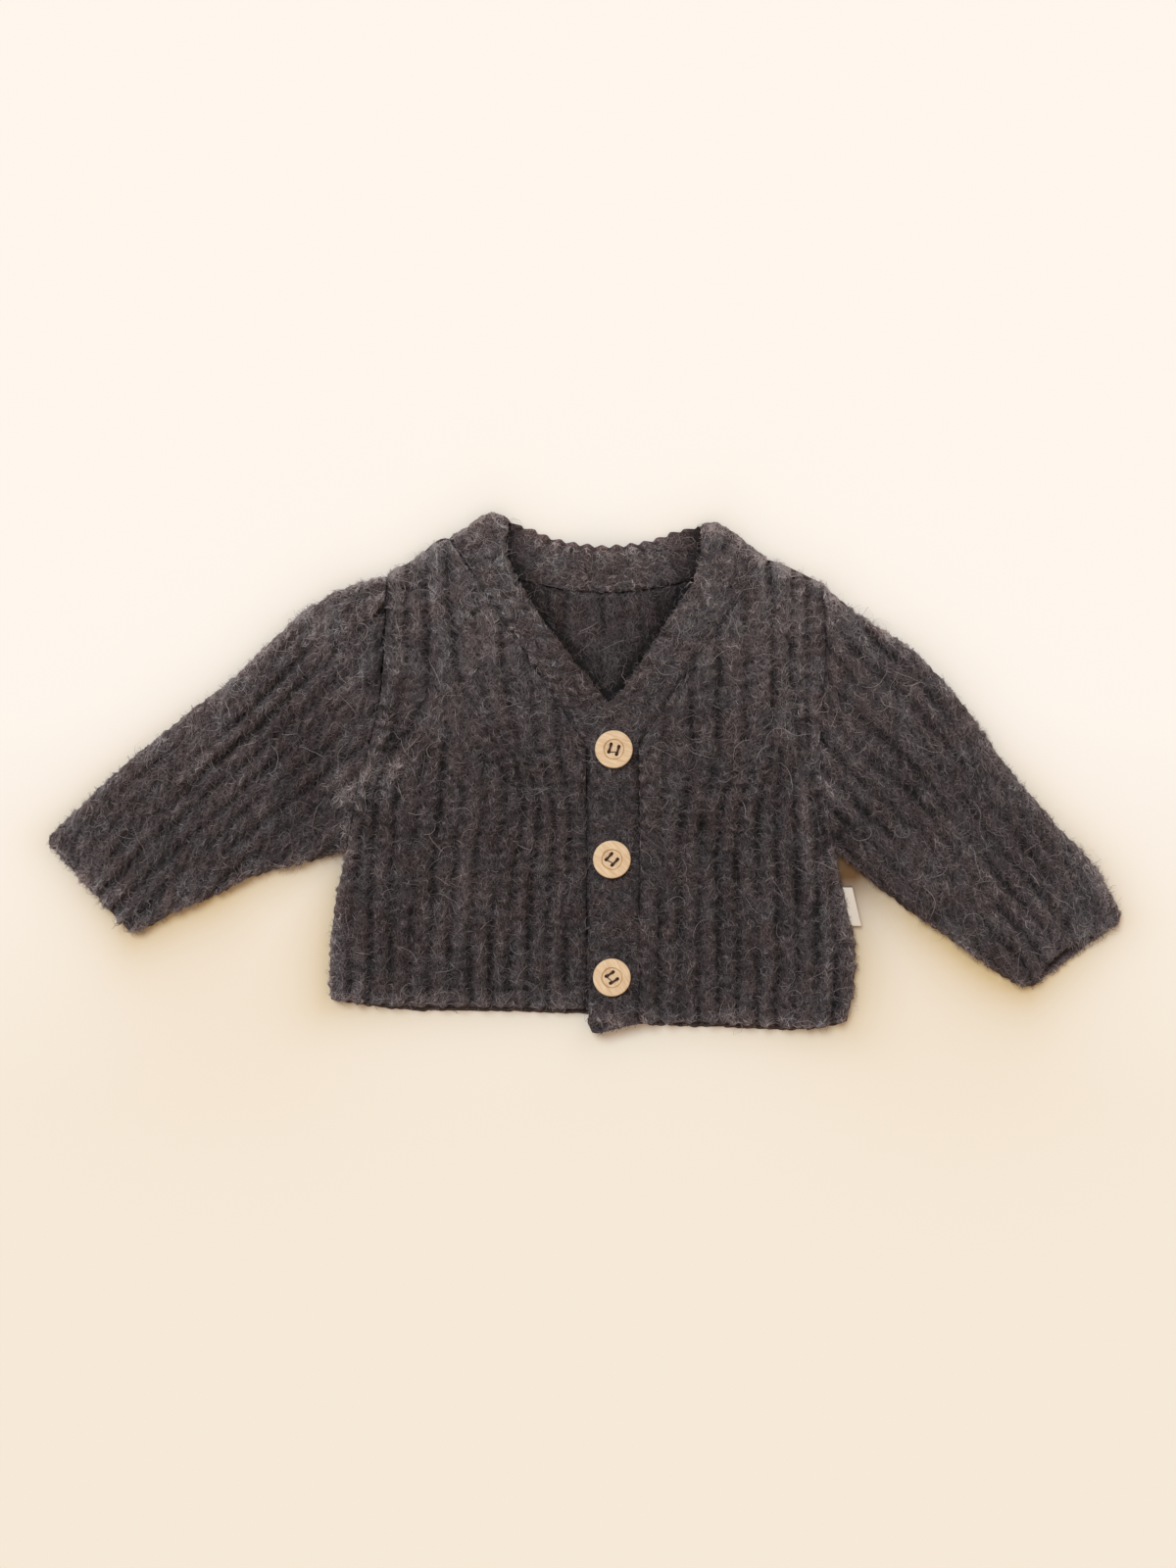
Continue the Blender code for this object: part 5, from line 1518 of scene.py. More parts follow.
def band_stations():
    """The whole band, from the right hem up, round the neck and down to the left hem."""
    def to_end(share):
        return 1 - share

    def to_nearer_end(share):
        return min(share, 1 - share)

    def no_fold(_share):
        return FOLD_BOW_REACH

    def neck_ribs(share):
        return 0.0, BAND_RIB * rise(min(share, 1 - share), *NECK_RIB_SHARES)

    def right_ribs(share):
        return BAND_RIB * rise(share, *VEE_RIB_SHARES), 0.0

    right, left = FRONTS
    left_edge = [*field_of(left.courses[:0:-1], "edge"), LEFT_PLACKET_END]
    right_placket = stretch_stations(
        smooth_path(field_of(right.courses, "edge")), RIGHT_PLACKET_FREE,
        lambda share: (BAND_UNDER_LEVEL, BAND_UNDER_LEVEL), lambda share: (0.0, 0.0), no_fold, 0.0)
    right_vee = stretch_stations(
        vee_line(right), RIGHT_VEE_FREE, vee_levels(BAND_UNDER_LEVEL), right_ribs, to_end,
        BAND_STARTS.right_vee)
    neck = stretch_stations(
        neck_line(), BACK_NECK_FREE, neck_levels, neck_ribs, to_nearer_end, BAND_STARTS.neck)
    left_vee = stretch_stations(
        vee_line(left), LEFT_VEE_FREE[::-1], vee_levels(BAND_OVER_LEVEL),
        lambda share: (BAND_RIB, 0.0), to_end, BAND_STARTS.left)
    left_placket = stretch_stations(
        left_edge, LEFT_PLACKET_FREE, lambda share: (BAND_OVER_LEVEL, BAND_OVER_LEVEL),
        lambda share: (BAND_RIB, 0.0), no_fold, BAND_STARTS.left)
    neck = [station._replace(roll=math.pi) for station in neck]
    return (right_placket + right_vee[1:]
            + fold_stations(right_vee[-1], neck[0])
            + neck
            + fold_stations(left_vee[-1], neck[-1])[::-1]
            + left_vee[::-1] + left_placket[1:])


def rib_pitch(station):
    return NECK_RIB_PITCH if station.roll == math.pi else BAND_RIB_PITCH


def band_outline():
    """Shares across the band and of its half thickness, round its section."""
    top = np.linspace(0, BAND_EDGE_SHARE, BAND_TOP_POINTS)
    under = np.linspace(BAND_EDGE_SHARE, 0, BAND_UNDER_POINTS)
    angles = np.linspace(math.pi / 2, -math.pi / 2, BAND_EDGE_POINTS + 2)[1:-1]
    edge = BAND_EDGE_SHARE + (1 - BAND_EDGE_SHARE) * np.cos(angles)
    share = np.concatenate([top, edge, under])
    side = np.concatenate([np.ones(len(top)), np.sin(angles), -np.ones(len(under))])
    return share, side


def band_ring(station, share, side, relief, edge):
    """The wall's section at a station, with the knit's relief on its outer face.

    edge is how far its free edge stands out there.
    """
    seam, free = np.append(station.seam, 0.0), np.append(station.free, 0.0)
    across = (free - seam) / np.linalg.norm(free - seam)
    wave = 0.5 - 0.5 * math.cos(2 * math.pi * station.run / rib_pitch(station))
    seam = seam + across * SEAM_INSET
    free = free + across * (BAND_SCALLOP * (wave - 0.5) + edge)
    outward = np.array([-across[1], across[0], 0.0])
    if outward[1] < 0:
        outward = -outward
    lean, flat = math.sin(station.roll), math.cos(station.roll)
    middle = (BAND_UNDER_LEVEL + BAND_BACK_LEVEL) / 2
    radius = (BAND_UNDER_LEVEL - BAND_BACK_LEVEL) / 2
    folding = 0 < station.roll < math.pi
    if folding:
        height = np.full(len(share), middle + radius * flat)
    else:
        height = mix(station.seam_level, station.free_level, share ** 2)
    rib = np.where(side > 0, station.rib_out, station.rib_in)
    seen = side < 0 if station.roll == math.pi else side > 0
    bump = np.where(seen, relief, BAND_HIDDEN_RELIEF * relief) * np.abs(side)
    half = BAND_WALL / 2 + rib * wave * np.clip(np.abs(side) * 2 - 1, 0, 1) + bump
    bow = station.bow * np.sin(math.pi * share ** FOLD_BOW_SKEW)
    offset = bow[:, None] * outward + radius * lean * folding * outward
    normal = outward * lean + np.array([0, 0, flat])
    point = mix(seam, free, share[:, None]) + offset + normal * (half * side)[:, None]
    point[:, 2] = np.maximum(point[:, 2] + height, 0.0)
    return point


def band_knit(run, pitch, width, share, round_neck):
    """The knit of the band, whose ribs run across it."""
    row = share[None, :] * width[:, None]
    across = np.broadcast_to(run[:, None], row.shape)
    ribs = across / pitch[:, None]
    gap = np.abs(ribs - np.round(ribs)) * pitch[:, None]
    depth = np.where(round_neck[:, None], NECK_GROOVE * share ** 3, BAND_GROOVE + 0 * gap)
    return Knit(across, row, gap, pitch[:, None] / 2 + 0 * gap, np.floor(ribs), depth)


def band_edges(run, pitch, round_neck):
    """How far the free edge stands out at each station."""
    near_end = np.clip(1 - np.arange(len(run))[::-1] * BAND_STEP / CORNER, 0, 1)
    ragged = noise(run, run * 0, BAND_RAG_SIZE, BAND_SEED + BAND_RAG_SEED)
    edge = np.where(round_neck, NECK_RAG, BAND_RAG) * ragged
    wave = np.abs(np.sin(math.pi * run / pitch)) - NECK_SCALLOP_LEVEL
    scallop = NECK_RISE + NECK_SCALLOP * wave
    return edge - CORNER * (1 - np.sqrt(1 - near_end ** 2)) + scallop * round_neck


def make_band(material):
    stations = band_stations()
    share, side = band_outline()
    run, roll = (np.array(field_of(stations, field)) for field in ("run", "roll"))
    pitch = np.array([rib_pitch(station) for station in stations])
    width = np.array([np.linalg.norm(station.free - station.seam) for station in stations])
    round_neck = roll == math.pi
    knit = band_knit(run, pitch, width, share, round_neck)
    relief, hollow = knit_relief(knit, BAND_SEED)
    dip = seam_dip(knit.row) * np.where(round_neck, NECK_SEAM, 1.0)[:, None]
    edges = band_edges(run, pitch, round_neck)
    rings = np.stack([band_ring(station, share, side, line, edge)
                      for station, line, edge in zip(stations, relief - dip, edges)])
    # Painted shade round the neck and beside the V's strands, and painted light and shade along the
    # free edge
    shade = NECK_SHADE + NECK_VEE_SHADE * shade_of_vee(rings[..., :2], NECK_VEE_SPREAD)
    tone = knit_tone(rings, np.clip(hollow + seam_shade(dip, knit), -1, 1))
    tone = BAND_LIGHT * tone * (1 - shade * round_neck[:, None])
    edge_light = np.where(round_neck, NECK_EDGE_LIGHT, BAND_EDGE_LIGHT)[:, None]
    tone = tone * (1 + edge_light * smooth((share - (1 - BAND_LIT_SHARE)) / BAND_LIT_SHARE))

    cloth = Cloth()
    under_shift = np.where(side < 0, BAND_MAP_SHIFT, 0.0)[None, :, None] * np.array([1.0, 0.0])
    numbers = cloth.add_grid(rings, knit_map(knit) + under_shift, (0.0, 1.0), tone, closed=True)
    for end, bake_row in zip((0, -1), BAKE_SEAMS):
        middle = cloth.add_points(rings[end].mean(axis=0)[None])[0]
        after = np.roll(numbers[end], -1)
        fan = np.stack([numbers[end], after, np.full(len(share), middle)], axis=-1)
        cloth.add_faces(fan, bake_row, 0.0)
    piece = cloth.make("knit_band", material)
    first, last = np.flatnonzero(round_neck)[[0, -1]]
    over = slice(0, BAND_TOP_POINTS + BAND_EDGE_POINTS // 2)
    under = slice(-BAND_UNDER_POINTS, None)
    patches = []
    for shown in (np.s_[:first, over], np.s_[last + 1:, over], np.s_[first:last + 1, under]):
        normals = grid_normals(rings[shown])
        normals *= np.where(normals[..., 2:] < 0, -1.0, 1.0)
        patches.append(Patch(rings[shown], rings[shown], normals, tone[shown]))
    length = lengths(rings.mean(axis=1))[-1] * MM
    return piece, patches, (width.mean() * MM, length, width.mean() * MM * length)


# ----------------------------------------------------------------- buttons and label
def turned_disc():
    """Profile of a button: (radius, height), from the dish's middle round to the back."""
    top, dish = BUTTON_THICK, BUTTON_THICK - BUTTON_DISH_DEPTH
    wide, high = BUTTON_ROUNDING
    rim = [(BUTTON_RADIUS - wide + wide * math.sin(a), top - high + high * math.cos(a))
           for a in np.linspace(0, math.pi / 2, BUTTON_ROUND_POINTS[0])]
    foot = [(BUTTON_RADIUS - wide + wide * math.cos(a), high - high * math.sin(a))
            for a in np.linspace(0, math.pi / 2, BUTTON_ROUND_POINTS[1])]
    inset, width = BUTTON_STEP
    step = [(BUTTON_DISH_RADIUS - inset + width * share, mix(dish, top, float(smooth(share))))
            for share in np.linspace(0, 1, BUTTON_STEP_POINTS)]
    bead = (BUTTON_DISH_RADIUS + BUTTON_BEAD[0], top + BUTTON_BEAD[1])
    return [(0.0, dish), (BUTTON_DISH_RADIUS * 0.5, dish), *step, bead, *rim, *foot, (0.0, 0.0)]


def drill_mesh():
    """Four pins, where a button's holes go."""
    work = bmesh.new()
    for side_x in (-1, 1):
        for side_y in (-1, 1):
            pin = bmesh.ops.create_cone(
                work, cap_ends=True, segments=BUTTON_HOLE_SEGMENTS, depth=3 * BUTTON_THICK * MM,
                radius1=BUTTON_HOLE_RADIUS * MM, radius2=BUTTON_HOLE_RADIUS * MM)
            offset = (side_x * BUTTON_HOLE_OFFSET, side_y * BUTTON_HOLE_OFFSET, BUTTON_THICK / 2)
            bmesh.ops.translate(work, verts=pin["verts"], vec=Vector(offset) * MM)
    mesh = bpy.data.meshes.new("drill")
    work.to_mesh(mesh)
    work.free()
    return mesh


def button_mesh(material):
    """One button, turned and drilled."""
    profile = turned_disc()
    mesh = bpy.data.meshes.new("button")
    mesh.from_pydata([(r * MM, 0, h * MM) for r, h in profile],
                     [(k, k + 1) for k in range(len(profile) - 1)], [])
    blank = link(bpy.data.objects.new("blank", mesh))
    turn = blank.modifiers.new("turned", "SCREW")
    turn.steps = turn.render_steps = BUTTON_SEGMENTS
    turn.use_merge_vertices = True
    turn.merge_threshold = BUTTON_MERGE
    drill = link(bpy.data.objects.new("drill", drill_mesh()))
    blank.modifiers.new("holes", "BOOLEAN").object = drill
    view = bpy.context.evaluated_depsgraph_get()
    done = bpy.data.meshes.new_from_object(blank.evaluated_get(view))
    for helper in (blank, drill):
        bpy.data.objects.remove(helper)
    done.materials.clear()
    done.materials.append(material)
    done.shade_smooth()
    done.set_sharp_from_angle(angle=math.radians(BUTTON_SHARP_DEG))
    return done


def tube(path, radii, sides=8):
    """Points and faces of a closed tube along a path, with a radius at each point."""
    ring = range(sides)
    forward = np.gradient(path, axis=0)
    forward /= np.linalg.norm(forward, axis=1, keepdims=True)
    side = unit(np.cross(forward, (0, 0, 1.0)))
    up = np.cross(side, forward)
    points, faces = [], []
    for k in range(len(path)):
        for s in ring:
            angle = 2 * math.pi * s / sides
            spoke = math.cos(angle) * side[k] + math.sin(angle) * up[k]
            points.append(path[k] + radii[k] * spoke)
    for k in range(len(path) - 1):
        for s in ring:
            t = (s + 1) % sides
            faces.append((k * sides + s, k * sides + t, (k + 1) * sides + t, (k + 1) * sides + s))
    faces.append(tuple(ring)[::-1])
    faces.append(tuple((len(path) - 1) * sides + s for s in ring))
    return points, faces


def thread_paths():
    """Sewing thread over a button's dish: two doubled bars and a thin tie across one end."""
    seat, hole = BUTTON_THICK - BUTTON_DISH_DEPTH, BUTTON_HOLE_OFFSET
    share = np.linspace(0, 1, THREAD_POINTS)
    from_middle = np.abs(share - 0.5) * 2
    paths = []
    for bar in (-1, 1):
        for strand in (-1, 1):
            x = hole * mix(-1, 1, share)
            y = bar * hole + strand * THREAD_SPREAD * (0.4 + from_middle ** 2)
            z = seat - THREAD_SUNK + (THREAD_SUNK + THREAD_RISE) * (1 - from_middle ** 6)
            radii = THREAD_RADIUS * (0.75 + 0.55 * from_middle ** 2)
            paths.append((np.stack([x, y, z], axis=-1), radii))
    x = -hole * TIE_PLACE + TIE_SWAY * np.sin(2 * math.pi * share)
    y = hole * mix(-1.0, 1.0, share)
    z = seat + TIE_LEVEL + 0 * share
    paths.append((np.stack([x, y, z], axis=-1), np.full(len(share), THREAD_RADIUS * TIE_SHARE)))
    return paths


def make_button(button, mesh, thread_material):
    piece = link(bpy.data.objects.new("wood_" + button.name, mesh.copy()))
    piece.location = (Vector((*button.place, BUTTON_SEAT)) + Vector(SHIFT)) * MM
    piece.rotation_euler.z = math.radians(button.turn_deg)
    points, faces = [], []
    for path, radii in thread_paths():
        more, rings = tube(path, radii)
        faces += [tuple(number + len(points) for number in ring) for ring in rings]
        points += more
    thread_mesh = bpy.data.meshes.new("thread_" + button.name)
    thread_mesh.from_pydata([tuple(point * MM) for point in points], [], faces)
    thread = smooth_piece(thread_mesh, thread_material)
    thread.location = piece.location
    thread.rotation_euler = piece.rotation_euler
    return piece, thread


def folded_line(half):
    """Shares across the label and heights of one face, round its fold, half apart."""
    run = np.linspace(0, 1 - LABEL_FOLD, LABEL_RUN_POINTS)
    angles = np.linspace(math.pi / 2, -math.pi / 2, LABEL_FOLD_POINTS + 2)[1:-1]
    fold = 1 - LABEL_FOLD + LABEL_FOLD * half / (LABEL_THICK / 2) * np.cos(angles)
    share = np.concatenate([run, fold, run[::-1]])
    level = np.concatenate([half + 0 * run, half * np.sin(angles), -half + 0 * run])
    return np.stack([share, level])


def make_label(material):
    """A tape folded in two, with its fold outwards."""
    rows = np.linspace(0, len(LABEL_EDGES) - 1, LABEL_ROWS)
    inner, outer = (spline(field_of(LABEL_EDGES, edge), rows) for edge in ("inner", "outer"))
    section = (folded_line(LABEL_THICK / 2), folded_line(LABEL_GAP / 2)[:, ::-1])
    share, level = np.concatenate(section, axis=1)
    flat = mix(inner[:, None], outer[:, None], share[None, :, None])
    ripple = LABEL_RIPPLE * noise(flat[..., 0], flat[..., 1], LABEL_RIPPLE_SIZE, LABEL_SEED)
    ring = with_height(flat, LABEL_LEVEL + level + ripple)
    cloth = Cloth()
    numbers = cloth.add_grid(ring, ring[..., :2], (0.0, 1.0), 0.0, closed=True, top=LABEL_BAKE_TOP)
    count = ring.shape[1]
    for end, bake_row in zip((0, -1), LABEL_BAKE_ENDS):
        pairs = [(k, k + 1, count - 2 - k, count - 1 - k) for k in range(count // 2 - 1)]
        cloth.add_faces(numbers[end][np.array(pairs)], bake_row, LABEL_EDGES[end].inner)
    piece = cloth.make("label_tape", material)
    return piece


# ----------------------------------------------------------------------- materials
WHITE = (255, 255, 255)
SHEEN_ROUGHNESS = 0.55
SPECULAR = 0.2

# Colours by a value from 0 to 1, each as (value, colour)
WOOL_STREAKS = ((0.34, (36, 31, 33)), (0.48, (62, 55, 57)), (0.60, (92, 83, 85)),
                (0.74, (132, 122, 123)))
WOOL_CLUMPS = ((0.3, (185, 185, 185)), (0.65, WHITE))
# Tints of the wool by its warmth, from grey to brown
WOOL_TINTS = ((0.05, (243, 249, 252)), (0.4, (252, 246, 247)), (0.95, (255, 234, 227)))
WOOL_SHEEN = (190, 178, 172)
FIBRE_TONES = ((0.1, (38, 33, 35)), (0.4, (65, 58, 60)), (0.65, (96, 89, 90)),
               (0.85, (126, 119, 120)), (1.0, (166, 161, 161)))
WOOD_GRAIN = ((0.3, (204, 170, 134)), (0.5, (221, 190, 155)), (0.7, (230, 204, 172)))
# By the distance from the line, in millimetres
DISH_LINE = ((0.12, (214, 190, 160)), (0.34, WHITE))
DISH_LINE_INSET = 0.35   # how far it lies inside the dish's edge
DISH_LINE_WANDER = 0.9
THREAD_TWIST = ((0.35, (48, 28, 22)), (0.65, (84, 54, 42)))
TAPE_WEAVE = ((0.35, (212, 198, 186)), (0.65, (226, 213, 201)))
TAPE_LINE = ((0.22, (120, 116, 112)), (0.36, WHITE))
TAPE_LINE_SPAN = 3.0      # millimetres from the tape's top edge that its value 1 stands for
PAPER = ((0.29, (243, 232, 219)), (0.54, (252, 245, 241)))
PAPER_SLOPE = 1.25        # change of its value for each metre up the view


def linear(colour):
    """Linear colour from a screen colour of 0 to 255."""
    parts = [part / 255 for part in colour]
    return [p / 12.92 if p <= 0.04045 else ((p + 0.055) / 1.055) ** 2.4 for p in parts] + [1.0]


class Nodes:
    """Short ways to add nodes to a new material."""

    def __init__(self, name, roughness, sheen=0.0, sheen_colour=WHITE):
        self.material = bpy.data.materials.new(name)
        self.material.use_nodes = True
        self.tree = self.material.node_tree
        self.shader = self.tree.nodes["Principled BSDF"]
        for title, value in (("Roughness", roughness), ("Sheen Weight", sheen),
                             ("Sheen Roughness", SHEEN_ROUGHNESS),
                             ("Sheen Tint", linear(sheen_colour)),
                             ("Specular IOR Level", SPECULAR)):
            self.shader.inputs[title].default_value = value

    def add(self, kind, **settings):
        node = self.tree.nodes.new(kind)
        for key, value in settings.items():
            setattr(node, key, value)
        return node

    def join(self, source, target):
        self.tree.links.new(source, target)

    def feed(self, socket, value):
        """Give a socket a number, a screen colour or what another socket gives."""
        if isinstance(value, (int, float)):
            socket.default_value = value
        elif isinstance(value, (tuple, list)):
            socket.default_value = linear(value)
        else:
            self.join(value, socket)

    def attribute(self, name):
        return self.add("ShaderNodeAttribute", attribute_name=name).outputs["Fac"]

    def uv(self, name):
        return self.add("ShaderNodeUVMap", uv_map=name).outputs["UV"]

    def place(self):
        """The place on the object, in metres."""
        return self.add("ShaderNodeTexCoord").outputs["Object"]

    def split(self, vector):
        """The parts of a vector, named X, Y and Z."""
        node = self.add("ShaderNodeSeparateXYZ")
        self.join(vector, node.inputs[0])
        return node.outputs

    def scaled(self, source, scale):
        """A vector times a scale for each axis."""
        node = self.add("ShaderNodeVectorMath", operation="MULTIPLY")
        self.join(source, node.inputs[0])
        node.inputs[1].default_value = scale
        return node.outputs[0]

    def noise(self, source, scale, detail=2.0, roughness=0.5):
        """Noise from 0 to 1 of a vector times a scale for each axis."""
        node = self.add("ShaderNodeTexNoise", noise_dimensions="3D")
        self.join(self.scaled(source, scale), node.inputs["Vector"])
        for title, value in (("Scale", 1.0), ("Detail", detail), ("Roughness", roughness)):
            node.inputs[title].default_value = value
        return node.outputs["Fac"]

    def ramp(self, source, stops):
        """Colours by a value; stops are (value, colour)."""
        node = self.add("ShaderNodeValToRGB")
        self.join(source, node.inputs["Fac"])
        elements = node.color_ramp.elements
        while len(elements) < len(stops):
            elements.new(0.5)
        for element, (place, colour) in zip(elements, stops):
            element.position = place
            element.color = linear(colour)
        return node.outputs["Color"]

    def mixed(self, share, first, second, blend="MIX"):
        """Two colours mixed; share is a number or a socket."""
        node = self.add("ShaderNodeMix", data_type="RGBA", blend_type=blend)
        for number, value in ((0, share), (6, first), (7, second)):
            self.feed(node.inputs[number], value)
        return node.outputs[2]

    def maths(self, operation, first, second):
        node = self.add("ShaderNodeMath", operation=operation)
        for socket, value in zip(node.inputs, (first, second)):
            self.feed(socket, value)
        return node.outputs[0]

    def bump(self, height, distance):
        node = self.add("ShaderNodeBump")
        node.inputs["Strength"].default_value = 1.0
        node.inputs["Distance"].default_value = distance * MM
        self.join(height, node.inputs["Height"])
        self.join(node.outputs["Normal"], self.shader.inputs["Normal"])

    def finish(self, colour):
        self.join(colour, self.shader.inputs["Base Color"])
        return self.material


def yarn_material():
    """Felted wool of mixed dark fibres: streaks, clumps and patches of two tints."""
    nodes = Nodes("yarn_knit", 0.95, sheen=0.12, sheen_colour=WOOL_SHEEN)
    knit = nodes.uv("Knit")
    streaks = nodes.noise(knit, (1.5, 0.7, 1.0), detail=3.0, roughness=0.7)
    clumps = nodes.noise(knit, (0.33, 0.24, 1.0))
    wool = nodes.ramp(streaks, WOOL_STREAKS)
    wool = nodes.mixed(1.0, wool, nodes.ramp(nodes.attribute("warmth"), WOOL_TINTS), "MULTIPLY")
    wool = nodes.mixed(1.0, wool, nodes.ramp(clumps, WOOL_CLUMPS), "MULTIPLY")
    scaled = nodes.add("ShaderNodeVectorMath", operation="SCALE")
    nodes.join(wool, scaled.inputs[0])
    nodes.join(nodes.attribute("tone"), scaled.inputs["Scale"])
    nodes.bump(streaks, 0.5)
    return nodes.finish(scaled.outputs[0])


def fibre_material():
    """Single fibres, whose tone and hue are set by their place in the map."""
    nodes = Nodes("yarn_fibre", 0.8, sheen=0.1)
    place = nodes.split(nodes.uv("OFBake"))
    tone, hue = nodes.ramp(place["X"], FIBRE_TONES), nodes.ramp(place["Y"], WOOL_TINTS)
    return nodes.finish(nodes.mixed(1.0, tone, hue, "MULTIPLY"))


def wood_material():
    """Pale turned birch with fine grain and a dark line round the dish."""
    nodes = Nodes("button_wood", 0.5)
    place = nodes.place()
    grain = nodes.noise(place, (900.0, 140.0, 400.0), detail=4.0, roughness=0.6)
    radius = nodes.add("ShaderNodeVectorMath", operation="LENGTH")
    nodes.join(nodes.scaled(place, (1 / MM, 1 / MM, 0.0)), radius.inputs[0])
    uneven = nodes.noise(place, (300.0, 300.0, 1.0))
    wander = nodes.maths("MULTIPLY", uneven, DISH_LINE_WANDER)
    away = nodes.maths("SUBTRACT", radius.outputs["Value"], wander)
    away = nodes.maths("SUBTRACT", away, BUTTON_DISH_RADIUS - DISH_LINE_INSET)
    line = nodes.ramp(nodes.maths("ABSOLUTE", away, 0.0), DISH_LINE)
    nodes.bump(grain, 0.15)
    return nodes.finish(nodes.mixed(1.0, nodes.ramp(grain, WOOD_GRAIN), line, "MULTIPLY"))


def thread_material():
    nodes = Nodes("sewing_thread", 0.7)
    twist = nodes.noise(nodes.place(), (1800.0, 1800.0, 1800.0))
    nodes.bump(twist, 0.2)
    return nodes.finish(nodes.ramp(twist, THREAD_TWIST))


def tape_material():
    """White woven tape with a fine weave and a thin dark line along its top edge."""
    nodes = Nodes("label_weave", 0.85)
    knit = nodes.uv("Knit")
    weave = nodes.noise(knit, (3.0, 3.0, 1.0))
    from_top = nodes.maths("SUBTRACT", LABEL_EDGES[0].outer[1], nodes.split(knit)["Y"])
    line = nodes.ramp(nodes.maths("DIVIDE", from_top, TAPE_LINE_SPAN), TAPE_LINE)
    nodes.bump(weave, 0.1)
    return nodes.finish(nodes.mixed(1.0, nodes.ramp(weave, TAPE_WEAVE), line, "MULTIPLY"))


def floor_material():
    """Plain cream paper, a little darker towards the bottom of the view, with painted shadows."""
    nodes = Nodes("cream_floor", 0.9)
    up = nodes.split(nodes.place())["Y"]
    share = nodes.maths("ADD", nodes.maths("MULTIPLY", up, PAPER_SLOPE), 0.5)
    colour = nodes.ramp(share, PAPER)
    for title, tint in (("shade", SHADE_COLOUR), ("armpit", ARMPIT_COLOUR)):
        shaded = nodes.mixed(1.0, colour, tint, "MULTIPLY")
        colour = nodes.mixed(nodes.attribute(title), colour, shaded)
    return nodes.finish(colour)


# ------------------------------------------------------------------ stage and lights
def warm_shade(points):
    """How much warm shade lies on the floor: in the lee of the arms and along the outline."""
    near = np.exp(-distance_to_paths(points, OUTLINE_PATHS) / SHADE_FADE)
    lee = sum(np.exp(-np.sum((points - place) ** 2, axis=-1) / SHADE_RADIUS ** 2)
              for place in SHADE_PLACES)
    return lee * (LEE_SHADE + LEE_NEAR_SHADE * near) + NEAR_SHADE * near


def armpit_shade(points):
    """How much deep shade lies on the floor in the armpits."""
    shades = (pit.strength * np.exp(-np.linalg.norm(points - pit.place, axis=-1) / pit.reach)
              for pit in ARMPITS)
    return np.clip(sum(shades), 0, 1)


def make_floor():
    near = np.arange(-SHADE_SPAN, SHADE_SPAN + 1, SHADE_STEP)
    ticks = np.concatenate([[-FLOOR_SIZE / 2], near, [FLOOR_SIZE / 2]])
    flat = np.stack(np.meshgrid(ticks, ticks), axis=-1)
    corners = with_height(flat, np.full(flat.shape[:2], FLOOR_LEVEL)).reshape(-1, 3) * MM
    numbers = np.arange(len(corners)).reshape(flat.shape[:2])
    mesh = bpy.data.meshes.new("floor")
    mesh.from_pydata(corners.tolist(), [], quads_of(numbers).tolist())
    add_values(mesh, "shade", warm_shade(flat))
    add_values(mesh, "armpit", armpit_shade(flat))
    mesh.materials.append(floor_material())
    link(bpy.data.objects.new("floor", mesh))


def make_camera():
    data = bpy.data.cameras.new("camera")
    data.lens = CAMERA_LENS
    data.sensor_width = CAMERA_SENSOR
    camera = link(bpy.data.objects.new("camera", data))
    place = Vector((*CAMERA_PLACE, CAMERA_HEIGHT)) + Vector((SHIFT[0], SHIFT[1], 0.0))
    camera.location = place * MM
    bpy.context.scene.camera = camera


def make_lights():
    """An even warm sky, and a broad cool window that shines from the upper left."""
    scene = bpy.context.scene
    scene.view_settings.view_transform = "Standard"
    scene.world = bpy.data.worlds.new("studio")
    scene.world.use_nodes = True
    sky = scene.world.node_tree.nodes["Background"]
    sky.inputs["Color"].default_value = SKY_COLOUR
    sky.inputs["Strength"].default_value = SKY_STRENGTH
    data = bpy.data.lights.new("window", "SUN")
    data.energy = WINDOW_STRENGTH
    data.angle = math.radians(WINDOW_WIDTH_DEG)
    data.color = WINDOW_COLOUR
    window = link(bpy.data.objects.new("window", data))
    window.rotation_euler = Vector(WINDOW_PLACE).to_track_quat("Z", "Y").to_euler()


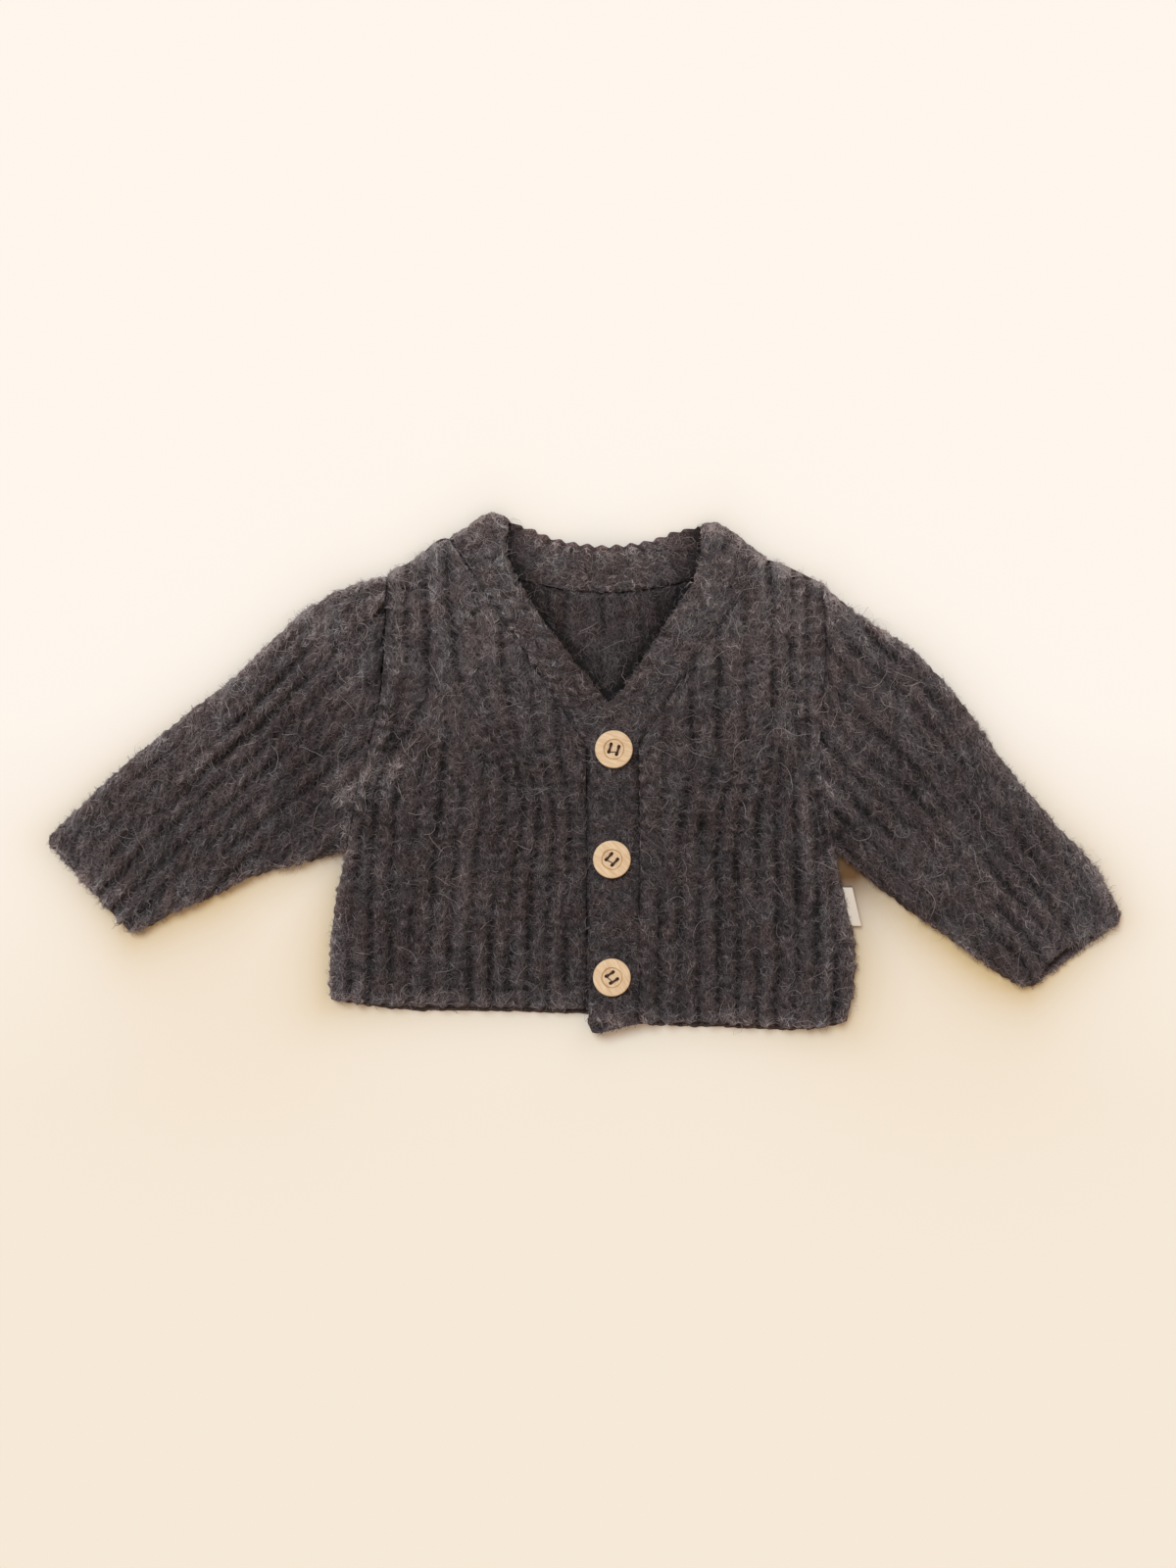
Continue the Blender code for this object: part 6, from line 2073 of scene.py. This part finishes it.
def cut_size(points, layers=1):
    """Width, length and area of the flat cut of a grid of knit, in metres."""
    flat = points[..., :2]
    width = np.linalg.norm(np.diff(flat, axis=1), axis=-1).sum(axis=1).max() * layers
    length = lengths(flat)[-1].max()
    area = cell_areas(np.pad(flat, ((0, 0), (0, 0), (0, 1)))).sum() * layers
    return width * MM, length * MM, area * MM ** 2


def place_piece(piece, *nodes, slot="yarn"):
    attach(piece, BODY)
    if nodes:
        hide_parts(*nodes)
    return piece


def main():
    make_camera()
    make_lights()
    make_floor()
    yarn, fibre = yarn_material(), fibre_material()
    knits = {"back": make_back(yarn), "band": make_band(yarn)}
    knits.update({front.name: make_front(front, yarn) for front in FRONTS})
    knits.update({sleeve.name: make_sleeve(sleeve, yarn) for sleeve in SLEEVES})
    for seed, (name, (piece, patches, cut)) in enumerate(knits.items()):
        place_piece(piece, name)
        fuzz = [make_fibres("tufts_" + name, patches, TUFTS, TUFTS_SEED + seed, fibre),
                make_fibres("strands_" + name, patches, STRANDS, STRANDS_SEED + seed, fibre)]
        for fibres in fuzz:
            place_piece(fibres)
    everywhere = [patch for _, patches, _ in knits.values() for patch in patches]
    place_piece(make_fibres("long_hairs", everywhere, LONG_HAIRS, LONG_HAIRS_SEED, fibre))
    wood = button_mesh(wood_material())
    thread = thread_material()
    for button in BUTTONS:
        piece, sewing = make_button(button, wood, thread)
        place_piece(piece, button.name, slot="button_wood")
        place_piece(sewing)
    place_piece(make_label(tape_material()), "label", slot="label_tape")


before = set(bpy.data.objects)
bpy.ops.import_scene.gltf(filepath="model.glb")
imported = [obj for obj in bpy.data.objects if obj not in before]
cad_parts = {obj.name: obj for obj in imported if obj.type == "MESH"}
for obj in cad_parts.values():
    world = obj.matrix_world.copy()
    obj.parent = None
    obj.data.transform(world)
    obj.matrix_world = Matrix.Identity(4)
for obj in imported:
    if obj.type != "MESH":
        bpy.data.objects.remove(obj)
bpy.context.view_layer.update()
top_low, top_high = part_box(BUTTONS[0].name)
SHIFT = np.array([(top_low.x + top_high.x) / 2 / MM - BUTTONS[0].place[0],
                  (top_low.y + top_high.y) / 2 / MM - BUTTONS[0].place[1], 0.0])
main()
